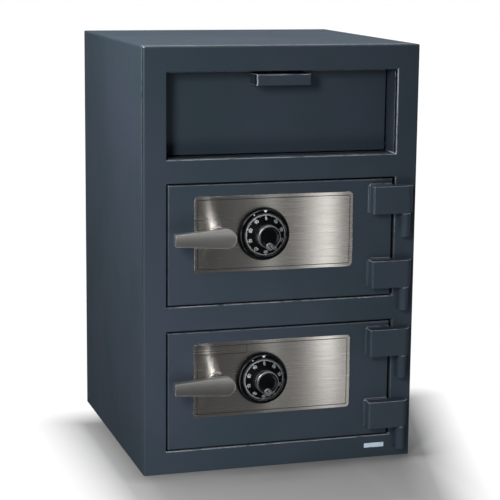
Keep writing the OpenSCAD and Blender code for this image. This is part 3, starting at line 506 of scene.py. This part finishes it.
def add_prism(shape, outline, lift):
    """A closed prism between an outline's two layers: lift(point, 0) below and lift(point, 1)
    on top."""
    low = [shape.verts.new(lift(p, 0)) for p in outline]
    high = [shape.verts.new(lift(p, 1)) for p in outline]
    shape.faces.new(high)
    shape.faces.new(low[::-1])
    for i in range(len(outline)):
        j = (i + 1) % len(outline)
        shape.faces.new((low[i], low[j], high[j], high[i]))


def add_loop(shape, outer, inner, lift):
    """A closed flat ring between two outlines of equally many points."""
    rows = [[shape.verts.new(lift(p, level)) for p in line]
            for line in (outer, inner) for level in (0, 1)]
    out_low, out_high, in_low, in_high = rows
    sides = ((out_low, out_high), (out_high, in_high), (in_high, in_low), (in_low, out_low))
    for i in range(len(outer)):
        j = (i + 1) % len(outer)
        for a, b in sides:
            shape.faces.new((a[i], a[j], b[j], b[i]))


def add_turned(shape, profile, centre, steps):
    """A closed ring turned about an axis along Y. The profile is radius and height towards the
    front, in millimetres."""
    rings = []
    for k in range(steps):
        angle = 2 * math.pi * k / steps
        x, z = math.sin(angle), math.cos(angle)
        rings.append([
            shape.verts.new(centre + Vector((r * x, -h, r * z)) * MM) for r, h in profile])
    for k in range(steps):
        a, b = rings[k], rings[(k + 1) % steps]
        for i in range(len(profile)):
            j = (i + 1) % len(profile)
            shape.faces.new((a[i], a[j], b[j], b[i]))


def rounded_outline(left, bottom, right, top, radius, steps=6):
    """Points of a rectangle with round corners."""
    corners = ((right - radius, top - radius, 0), (left + radius, top - radius, 90),
               (left + radius, bottom + radius, 180), (right - radius, bottom + radius, 270))
    points = []
    for x, z, start in corners:
        for k in range(steps + 1):
            angle = math.radians(start + 90 * k / steps)
            points.append((x + radius * math.cos(angle), z + radius * math.sin(angle)))
    return points


def spun(points, centre, degrees):
    """Points turned about their origin, counter-clockwise from the front, and moved to centre."""
    turn = math.radians(degrees)
    return [(centre.x + x * math.cos(turn) - z * math.sin(turn),
             centre.z + x * math.sin(turn) + z * math.cos(turn)) for x, z in points]


def half_disc(side, radius, half_slot, steps=12):
    """Points of the part of a disc on one side of a slot through its middle."""
    start = math.acos(half_slot / radius)
    angles = [start * (1 - 2 * k / steps) for k in range(steps + 1)]
    return [(side * radius * math.cos(a), side * radius * math.sin(a)) for a in angles]


def front_lift(y, rise):
    """Places outline points on a plane that faces the front, a little below it and risen above."""
    return lambda p, level: Vector((p[0], y + SINK - level * (rise + SINK), p[1]))


class DialFace:
    """The sloping skirt of one dial, as a place to put marks on"""

    # Radius and height over the dial's back, where the skirt ends outside and inside
    outer = (37.0 * MM, 13.0 * MM)
    inner = (23.0 * MM, 19.0 * MM)

    def __init__(self, door):
        low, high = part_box(door + "_dial")
        self.x = (low.x + high.x) / 2
        self.z = (low.z + high.z) / 2
        self.back = high.y

    def height(self, radius):
        share = (self.outer[0] - radius) / (self.outer[0] - self.inner[0])
        return self.outer[1] + share * (self.inner[1] - self.outer[1])

    def point(self, radius, angle, rise):
        """A point at a radius and a clockwise angle from the top, risen above the skirt."""
        return Vector((
            self.x + radius * math.sin(angle),
            self.back - self.height(radius) - rise,
            self.z + radius * math.cos(angle)))


def text_faces(text, height):
    """Points and faces of a centred text in metres, with its front at z 1 and its back at -1."""
    curve = bpy.data.curves.new("number", "FONT")
    curve.body = text
    curve.size = 1.42 * height  # The built-in font's figures are 1 / 1.42 of its size high
    curve.align_x = "CENTER"
    curve.align_y = "CENTER"
    curve.resolution_u = 3
    curve.extrude = 1.0
    holder = add_object("number", curve)
    depsgraph = bpy.context.evaluated_depsgraph_get()
    mesh = bpy.data.meshes.new_from_object(holder.evaluated_get(depsgraph))
    points = [v.co.copy() for v in mesh.vertices]
    faces = [tuple(p.vertices) for p in mesh.polygons]
    bpy.data.objects.remove(holder)
    bpy.data.curves.remove(curve)
    bpy.data.meshes.remove(mesh)
    return points, faces


# Operators: finishes of the CAD nodes


def nodes_in(slot):
    """CAD nodes whose record names this material slot."""
    return [frame["nodes"][s["node"]] for s in frame["record"]["subparts"]
            if s["material_slot"] == slot]


def door_nodes(*parts):
    """The CAD nodes of these parts on both doors."""
    return [frame["nodes"][f"{door}_{part}"] for door in DOORS for part in parts]


def dress(nodes, material):
    """Gives CAD nodes a material."""
    if not nodes:
        raise RuntimeError(f"no CAD node takes the finish {material.name}")
    for node in nodes:
        if not node.material_slots:
            node.data.materials.append(material)
        for slot in node.material_slots:
            slot.material = material


class SAFE_OT_cabinet_paint(Operator):
    """Paint the cabinet, the doors and the hopper"""

    bl_idname = "safe.cabinet_paint"
    bl_label = "Outside paint"

    def execute(self, context):
        paint = context.scene.safe_paint
        colors = (paint.body_color, paint.body_tint)
        dress(nodes_in("cabinet_paint"),
              paint_finish("cabinet_paint", paint, colors, wear=1.0, side_shade=0.9))
        dress(door_nodes("door_plate", "hinge_blocks") + [frame["nodes"]["hinge_knuckles"]],
              paint_finish("door_paint", paint, colors, wear=0.3))
        return {"FINISHED"}


class SAFE_OT_inside_paint(Operator):
    """Paint the pieces behind the doors and in the hopper"""

    bl_idname = "safe.inside_paint"
    bl_label = "Inside paint"

    def execute(self, context):
        paint = context.scene.safe_paint
        colors = (paint.inside_color, scaled(paint.inside_color, 1.15))
        dress(nodes_in("inside_paint"), paint_finish("inside_paint", paint, colors, wear=0.5))
        return {"FINISHED"}


class SAFE_OT_trim_metal(Operator):
    """Brush the trim plates"""

    bl_idname = "safe.trim_metal"
    bl_label = "Trim plates"

    def execute(self, context):
        dress(nodes_in("brushed_trim"), brushed_finish("brushed_trim", context.scene.safe_metal))
        return {"FINISHED"}


class SAFE_OT_lever_metal(Operator):
    """Finish the levers, their necks, the bolts and the hinge pins"""

    bl_idname = "safe.lever_metal"
    bl_label = "Levers and bright metal"

    def execute(self, context):
        color = context.scene.safe_metal.lever_color
        dress(nodes_in("bright_chrome"),
              metal_finish("bright_chrome", color, (0.09, 0.15), depth=0.004 * MM, stain=0.05))
        dress(door_nodes("lever_handle"), lever_finish("satin_lever", color))
        return {"FINISHED"}


class SAFE_OT_lock_metal(Operator):
    """Finish the steel, brass and zinc of the boltwork and the locks"""

    bl_idname = "safe.lock_metal"
    bl_label = "Boltwork and locks"

    def execute(self, context):
        metal = context.scene.safe_metal
        dress(nodes_in("plain_steel"), metal_finish(
            "plain_steel", metal.steel_color, (0.30, 0.44), depth=0.02 * MM, stain=0.3,
            grain=0.7 * MM, stretch=(1, 1, 8)))
        dress(nodes_in("lock_brass"), metal_finish(
            "lock_brass", metal.brass_color, (0.24, 0.36), depth=0.01 * MM, stain=0.25,
            grain=0.5 * MM, stretch=(6, 1, 1)))
        dress(nodes_in("lock_zinc"), metal_finish(
            "lock_zinc", metal.zinc_color, (0.42, 0.58), depth=0.06 * MM, stain=0.2,
            grain=1.2 * MM))
        return {"FINISHED"}


class SAFE_OT_dial_black(Operator):
    """Finish the dials, their rings and knobs in black"""

    bl_idname = "safe.dial_black"
    bl_label = "Black of the dials"

    def execute(self, context):
        scene = context.scene
        dress(nodes_in("dial_black"),
              black_finish("dial_black", scene.safe_dial.black_color, scene.safe_paint.worn_color))
        return {"FINISHED"}


# Operators: pieces


class SAFE_OT_dial_marks(Operator):
    """Add the graduations of both dials"""

    bl_idname = "safe.dial_marks"
    bl_label = "Dial graduations"

    outer = 36.8 * MM
    inner_at_number, inner_at_five, inner_plain = 32.8 * MM, 33.8 * MM, 34.6 * MM
    widening_at_number = 1.2

    def execute(self, context):
        dial = context.scene.safe_dial
        white = fill_finish("dial_mark_fill", dial.mark_color)
        for door in DOORS:
            face = DialFace(door)
            add_piece(door + "_dial_graduations", lambda shape: self.add_marks(shape, dial, face),
                      white, door + "_dial_set")
        return {"FINISHED"}

    def add_marks(self, shape, dial, face):
        for i in range(dial.mark_count):
            angle = 2 * math.pi * i / dial.mark_count
            half = dial.mark_width / 2
            inner = self.inner_plain
            if i % dial.number_step == 0:
                half *= self.widening_at_number
                inner = self.inner_at_number
            elif i % 5 == 0:
                inner = self.inner_at_five
            outline = ((self.outer, -half), (self.outer, half), (inner, half), (inner, -half))
            add_prism(shape, outline, lambda p, level: face.point(
                p[0], angle + p[1] / p[0], dial.mark_rise if level else -dial.mark_rise))


class SAFE_OT_dial_numbers(Operator):
    """Add the numbers of both dials"""

    bl_idname = "safe.dial_numbers"
    bl_label = "Dial numbers"

    radius = 29.4 * MM
    merge_gap = 0.001 * MM

    def execute(self, context):
        dial = context.scene.safe_dial
        white = fill_finish("dial_number_fill", scaled(dial.mark_color, 0.72))
        for door in DOORS:
            face = DialFace(door)
            add_piece(door + "_dial_numbers", lambda shape: self.add_numbers(shape, dial, face),
                      white, door + "_dial_set")
        return {"FINISHED"}

    def add_numbers(self, shape, dial, face):
        for i in range(0, dial.mark_count, dial.number_step):
            angle = 2 * math.pi * i / dial.mark_count
            points, faces = text_faces(str(i), dial.number_size)
            made = [
                shape.verts.new(face.point(
                    self.radius + p.y, angle + p.x / self.radius,
                    dial.mark_rise if p.z > 0 else -dial.mark_rise))
                for p in points]
            for corners in faces:
                shape.faces.new([made[c] for c in corners])
        bmesh.ops.remove_doubles(shape, verts=shape.verts, dist=self.merge_gap)


class SAFE_OT_ring_index(Operator):
    """Add the index marks on the dial rings"""

    bl_idname = "safe.ring_index"
    bl_label = "Index marks"

    # Millimetres to the right of the ring's centre and above it
    arrow = ((-2.0, 44.0), (0, 43.0), (2.0, 44.0), (3.1, 43.2), (0, 39.6), (-3.1, 43.2))
    bar = (-0.9, 40.0, 0.9, 42.4)
    bar_corner = 0.4
    bar_turn = 30
    rise = 0.12 * MM

    def execute(self, context):
        white = fill_finish("index_fill", context.scene.safe_dial.mark_color, patchy=0.1)
        for door in DOORS:
            add_piece(door + "_ring_index", lambda shape: self.add_index(shape, door),
                      white, door + "_door")
        return {"FINISHED"}

    def add_index(self, shape, door):
        low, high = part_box(door + "_dial_ring")
        bar = rounded_outline(*self.bar, self.bar_corner, 2)
        for outline, turn in ((self.arrow, 0), (bar, self.bar_turn)):
            outline = [(x * MM, z * MM) for x, z in outline]
            add_prism(shape, spun(outline, (low + high) / 2, turn), front_lift(low.y, self.rise))


class SAFE_OT_knob_trim(Operator):
    """Add the light rim of both knobs and the face of the key lock in each"""

    bl_idname = "safe.knob_trim"
    bl_label = "Knob rim and key lock"

    # Radius and height, in millimetres
    rim_profile = ((19.1, -1.15), (19.25, -0.85), (20.15, -1.75), (20.15, -2.4), (19.8, -2.4))
    lock_profile = ((6.4, -1.2), (6.4, 0.1), (6.1, 0.35), (5.3, 0.35), (5.0, 0.1), (5.0, -0.1))
    knob_depth = 1 * MM  # From the key lock's front back to the knob's
    lock_drop = 17 * MM
    slot_turn = 35
    plug_radius = 4.3 * MM
    half_slot = 1.1 * MM
    plug_rise = 0.3 * MM

    def execute(self, context):
        color = context.scene.safe_metal.lever_color
        bright = metal_finish("knob_trim_metal", color, (0.30, 0.42), depth=0.004 * MM, stain=0.8)
        for door in DOORS:
            face = DialFace(door)
            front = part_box(door + "_dial_knob")[0].y
            centre = Vector((face.x, front + self.knob_depth, face.z))
            lock_centre = Vector((face.x, front, face.z - self.lock_drop))
            for name, build in (
                    ("_knob_rim", lambda shape: add_turned(shape, self.rim_profile, centre, 128)),
                    ("_key_lock", lambda shape: self.add_lock(shape, lock_centre))):
                add_piece(door + name, build, bright, door + "_dial_set")
        return {"FINISHED"}

    def add_lock(self, shape, centre):
        add_turned(shape, self.lock_profile, centre, 48)
        for side in (1, -1):
            plug = half_disc(side, self.plug_radius, self.half_slot)
            add_prism(shape, spun(plug, centre, self.slot_turn),
                      front_lift(centre.y, self.plug_rise))


class SAFE_OT_plate_lines(Operator):
    """Add the engraved border of both trim plates and the bare label cell of the lower one"""

    bl_idname = "safe.plate_lines"
    bl_label = "Engraved lines"

    corner_radius = 2.5 * MM
    cell_width = 92 * MM  # From the border's outside to the cell's upright line
    cell_drop = 22 * MM  # From the plate's top to the cell's lower line
    rise = 0.03 * MM

    def execute(self, context):
        plates = context.scene.safe_plates
        dark = fill_finish("engraved_line_fill", plates.line_color, 0.45)
        for door in DOORS:
            add_piece(door + "_trim_lines", lambda shape: self.add_lines(shape, plates, door),
                      dark, door + "_door")
        return {"FINISHED"}

    def add_lines(self, shape, plates, door):
        low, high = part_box(door + "_trim_plate")
        lift = front_lift(low.y, self.rise)
        inset, width = plates.line_inset, plates.line_width
        left, bottom, right, top = (
            low.x + inset, low.z + inset, high.x - inset, high.z - inset)
        outer = rounded_outline(left, bottom, right, top, self.corner_radius)
        inner = rounded_outline(left + width, bottom + width, right - width, top - width,
                                self.corner_radius - width)
        add_loop(shape, outer, inner, lift)
        if door == "lower":
            side, level = left + self.cell_width, high.z - self.cell_drop
            for line in ((left + 2 * width, level, side, level + width),
                         (side, level + width, side + width, top - 2 * width)):
                add_prism(shape, rounded_outline(*line, width / 2.2, 2), lift)


class SAFE_OT_sticker(Operator):
    """Add the bare sticker at the foot of the frame"""

    bl_idname = "safe.sticker"
    bl_label = "Sticker"

    left, bottom = 164.5 * MM, 18.3 * MM
    corner_radius = 0.8 * MM
    thickness = 0.12 * MM

    def execute(self, context):
        plates = context.scene.safe_plates
        outline = rounded_outline(self.left, self.bottom, self.left + plates.sticker_w,
                                  self.bottom + plates.sticker_h, self.corner_radius, 3)
        lift = front_lift(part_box("front_frame")[0].y, self.thickness)
        color = plates.sticker_color
        made = Finish("sticker_film")
        tone = made.ramp(made.noise(0.02, 2, (1, 1, 3)), 0.35, 0.65)
        made.set(
            Base_Color=made.mix(tone, color, scaled(color, 1.35)),
            Roughness=made.ramp(made.noise(4 * MM, 2), 0.3, 0.7, 0.28, 0.4),
            Normal=made.bump(made.noise(3 * MM, 2), 0.02 * MM, 0.5),
        )
        add_piece("foot_sticker", lambda shape: add_prism(shape, outline, lift), made.material,
                  "cabinet")
        return {"FINISHED"}


# Operators: camera, floor and lamps


class SAFE_OT_camera(Operator):
    """Place the camera where the photograph was taken from"""

    bl_idname = "safe.camera"
    bl_label = "Camera"

    place = (-0.90564, -2.99805, 0.93778)
    azimuth, elevation, roll = math.radians(-17.12), math.radians(10.58), math.radians(0.60)
    focal_length, sensor_width = 118.65, 36
    clip_start, clip_end = 0.05, 60

    def execute(self, context):
        ahead = Vector((
            -math.sin(self.azimuth) * math.cos(self.elevation),
            math.cos(self.azimuth) * math.cos(self.elevation),
            -math.sin(self.elevation)))
        level = Vector((math.cos(self.azimuth), math.sin(self.azimuth), 0))
        upward = level.cross(ahead)
        right = math.cos(self.roll) * level + math.sin(self.roll) * upward
        up = math.cos(self.roll) * upward - math.sin(self.roll) * level
        lens = bpy.data.cameras.new("camera")
        lens.lens = self.focal_length
        lens.sensor_width = self.sensor_width
        lens.clip_start, lens.clip_end = self.clip_start, self.clip_end
        camera = add_object("camera", lens)
        pose = Matrix((right, up, -ahead)).transposed().to_4x4()
        pose.translation = Vector(self.place)
        camera.matrix_world = pose
        context.scene.camera = camera
        return {"FINISHED"}


def add_lamp(name, place, target, size, power):
    """A rectangular lamp at a place, turned to its target."""
    lamp = bpy.data.lights.new(name, "AREA")
    lamp.shape = "RECTANGLE"
    lamp.size, lamp.size_y = size
    lamp.energy = power
    holder = add_object(name, lamp)
    aim = (Vector(target) - Vector(place)).to_track_quat("-Z", "Y")
    holder.matrix_world = Matrix.LocRotScale(Vector(place), aim, None)
    return holder


def light_only(name, nodes, *lamps):
    """Lets some lamps light only those CAD nodes."""
    group = bpy.data.collections.new(name)
    for node in nodes:
        group.objects.link(node)
    for lamp in lamps:
        lamp.light_linking.receiver_collection = group


def add_card(name, y, foot, height, tones):
    """A standing card whose foot runs along the floor to the safe. Only gloss mirrors it. Its
    tones are pairs of x and grey."""
    left, right = tones[0][0], tones[-1][0]
    floor = -0.1 * MM

    def build(shape):
        rows = [[shape.verts.new((x, depth, z)) for x in (left, right)]
                for z, depth in ((height, y), (floor, y), (floor, foot))]
        for (a, b), (c, d) in zip(rows, rows[1:]):
            shape.faces.new((a, b, d, c))

    mesh = mesh_of(name, build)
    made = Finish(name)
    made.tree.nodes.remove(made.shader)
    steps = made.node("ShaderNodeValToRGB")
    made.link(made.ramp(made.axes()[0], left, right), steps.inputs["Fac"])
    ramp = steps.color_ramp
    while len(ramp.elements) < len(tones):
        ramp.elements.new(0.5)
    for element, (x, grey) in zip(ramp.elements, tones):
        element.position = (x - left) / (right - left)
        element.color = (grey, grey, grey, 1)
    glow = made.node("ShaderNodeEmission")
    made.link(steps.outputs["Color"], glow.inputs["Color"])
    made.link(glow.outputs["Emission"], made.output.inputs["Surface"])
    mesh.materials.append(made.material)
    card = add_object(name, mesh)
    card.visible_camera = False
    card.visible_diffuse = False
    card.visible_shadow = False
    card.visible_transmission = False


class SAFE_OT_studio(Operator):
    """Set up the pale floor, the white backdrop and the soft lamps"""

    bl_idname = "safe.studio"
    bl_label = "Studio"

    # A dim room, with a thin light stripe and a bright window that the trim plates mirror
    front_tones = (
        (-0.90, 0.12), (0.04, 0.10), (0.12, 0.16), (0.13, 0.70), (0.145, 0.70), (0.155, 0.15),
        (0.205, 0.20), (0.243, 0.95), (0.26, 1.9), (0.276, 1.9), (0.292, 0.25), (1.50, 0.25))
    back_tones = ((-2.4, 0.10), (2.4, 0.10))
    room_color = (0.93, 0.96, 1.0)
    floor_reach = 14.0
    # Left, right, front and back of the shaded floor, and the slant of its right edge
    shaded_floor = (-0.29, 0.200, -0.53, 0.09, 0.30)
    safe_foot = (-0.254, 0.254, -0.254, 0.254)

    def execute(self, context):
        studio = context.scene.safe_studio
        context.scene.view_settings.view_transform = "Standard"
        self.add_floor(studio)
        self.light_room(context.scene, studio)
        self.add_lamps(studio)
        add_card("front_card", -0.75, -0.27, 1.9, self.front_tones)
        add_card("back_card", 1.4, -0.25, 2.6, self.back_tones)
        return {"FINISHED"}

    def add_lamps(self, studio):
        middle = (0, 0, 0.38)
        key = add_lamp("front_left_softbox", (-1.20, -1.82, 1.15), (-0.2, 0, 0.3), (0.48, 0.58),
                       studio.key_power)
        key.data.spread = math.radians(115)
        spark = add_lamp("spark_lamp", (-1.0, -2.7, 2.15), middle, (0.6, 0.2), studio.spark_power)
        light_only("lever_necks", door_nodes("lever_spindle"), spark)
        left = add_lamp("left_softbox", (-0.90, -0.27, 1.10), (-0.25, -0.12, 0.64), (0.4, 0.4),
                        studio.side_power)
        left.visible_camera = False
        add_lamp("top_softbox", (0.0, 0.4, 2.4), middle, (1.6, 1.6), studio.top_power)
        low = add_lamp("low_softbox", (-0.30, -0.95, 0.16), (-0.15, -0.25, 0.06), (0.7, 0.3),
                       studio.low_power)
        low.visible_glossy = False
        back = add_lamp("back_right_softbox", (1.75, 1.15, 1.35), (0.1, 0.1, 0.4), (1.1, 1.1),
                        studio.back_power)
        light_only("safe_nodes", frame["nodes"].values(), low, back)
        for door in DOORS:
            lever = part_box(door + "_lever_handle")[0]
            above = add_lamp(door + "_lever_softbox", (0.24, -1.45, lever.z + 0.85), lever,
                             (0.5, 0.3), studio.lever_power)
            light_only(door + "_lever_alone", [frame["nodes"][door + "_lever_handle"]], above)

    def add_floor(self, studio):
        """A floor that takes the room's light, and that eyes and mirrors see as white away from the
        safe. Around the safe the camera sees a painted shadow on it, darkest in a painted contact
        shadow along the safe's foot."""
        reach, level = self.floor_reach, -0.2 * MM
        mesh = mesh_of("floor", lambda shape: shape.faces.new([
            shape.verts.new((x * reach, y * reach, level))
            for x, y in ((-1, -1), (1, -1), (1, 1), (-1, 1))]))
        color = studio.floor_color
        made = Finish("pale_floor")
        camera = made.rays("Is Camera Ray")
        away = self.distance(made, *self.shaded_floor)
        touch = self.distance(made, *self.safe_foot)
        white = made.product(made.rays(*SEEN), made.ramp(away, 0.0, 0.10, 0.04, 1.0))
        # Painted shadow for the camera only: the floor darkens around the safe, and more along its
        # foot.
        painted_shadow = made.product(camera, made.ramp(away, -0.05, 0.08, 1.0, 0.0))
        painted_contact_shadow = made.product(camera, made.ramp(touch, 0.0, 0.05, 0.38, 0.0))
        tone = made.ramp(made.noise(0.8, 2), 0.3, 0.7, 0, 0.04)
        plain = made.mix(tone, color, scaled(color, 0.96))
        plain = made.mix(painted_shadow, plain, scaled(color, 0.52))
        plain = made.mix(painted_contact_shadow, plain, (0, 0, 0))
        made.set(
            Base_Color=made.mix(white, plain, (0, 0, 0)),
            Roughness=0.8,
            Specular_IOR_Level=0.1,
            Emission_Color=(1, 1, 1),
            Emission_Strength=white,
        )
        mesh.materials.append(made.material)
        add_object("floor", mesh)

    def distance(self, made, left, right, front, back, slant=0.0):
        """Distance of a point of the floor from a rectangle, below 0 inside it. Its right edge
        may slant."""
        x, y, _z = made.axes()
        edge = made.math("ADD", made.product(made.math("SUBTRACT", y, front), slant), right)
        along = made.math("MAXIMUM", made.math("SUBTRACT", x, edge),
                          made.math("SUBTRACT", left, x))
        across = made.math("MAXIMUM", made.math("SUBTRACT", front, y),
                           made.math("SUBTRACT", y, back))
        outside = made.node("ShaderNodeCombineXYZ")
        for axis, gap in (("X", along), ("Y", across)):
            made.link(made.math("MAXIMUM", gap, 0.0), outside.inputs[axis])
        length = made.node("ShaderNodeVectorMath", operation="LENGTH")
        made.link(outside.outputs["Vector"], length.inputs[0])
        inside = made.math("MINIMUM", made.math("MAXIMUM", along, across), 0.0)
        return made.math("ADD", length.outputs["Value"], inside)

    def light_room(self, scene, studio):
        """An even light that eyes and mirrors see as white."""
        world = bpy.data.worlds.new("studio_room")
        world.use_nodes = True
        made = NodeTree(world.node_tree, "ShaderNodeOutputWorld")
        mixer = made.node("ShaderNodeMixShader")
        made.put(mixer.inputs["Fac"], made.rays(*SEEN))
        for place, color, strength in (
                (1, self.room_color, studio.sky_strength), (2, (1, 1, 1), 1.0)):
            light = made.node("ShaderNodeBackground")
            made.put(light.inputs["Color"], color)
            made.put(light.inputs["Strength"], strength)
            made.link(light.outputs["Background"], mixer.inputs[place])
        made.link(mixer.outputs["Shader"], made.output.inputs["Surface"])
        scene.world = world


OPERATORS = (
    SAFE_OT_camera,
    SAFE_OT_studio,
    SAFE_OT_cabinet_paint,
    SAFE_OT_inside_paint,
    SAFE_OT_trim_metal,
    SAFE_OT_lever_metal,
    SAFE_OT_lock_metal,
    SAFE_OT_dial_black,
    SAFE_OT_dial_marks,
    SAFE_OT_dial_numbers,
    SAFE_OT_ring_index,
    SAFE_OT_knob_trim,
    SAFE_OT_plate_lines,
    SAFE_OT_sticker,
)


class SAFE_PT_looks(Panel):
    """Lists the sizes, the colours and the steps that dress the safe"""

    bl_idname = "SAFE_PT_looks"
    bl_label = "Deposit safe"
    bl_space_type = "VIEW_3D"
    bl_region_type = "UI"
    bl_category = "Deposit safe"

    def draw(self, context):
        layout = self.layout
        for operator in OPERATORS:
            layout.operator(operator.bl_idname)
        for name, group in GROUPS:
            box = layout.box()
            box.label(text=group.__doc__)
            values = getattr(context.scene, name)
            for field in group.__annotations__:
                box.prop(values, field)


def register():
    for name, group in GROUPS:
        bpy.utils.register_class(group)
        setattr(bpy.types.Scene, name, PointerProperty(type=group))
    for operator in OPERATORS:
        bpy.utils.register_class(operator)
    bpy.utils.register_class(SAFE_PT_looks)


def unregister():
    bpy.utils.unregister_class(SAFE_PT_looks)
    for operator in reversed(OPERATORS):
        bpy.utils.unregister_class(operator)
    for name, group in reversed(GROUPS):
        delattr(bpy.types.Scene, name)
        bpy.utils.unregister_class(group)


def main():
    register()
    for operator in OPERATORS:
        group, step = operator.bl_idname.split(".")
        getattr(getattr(bpy.ops, group), step)()


if __name__ == "__main__":
    main()
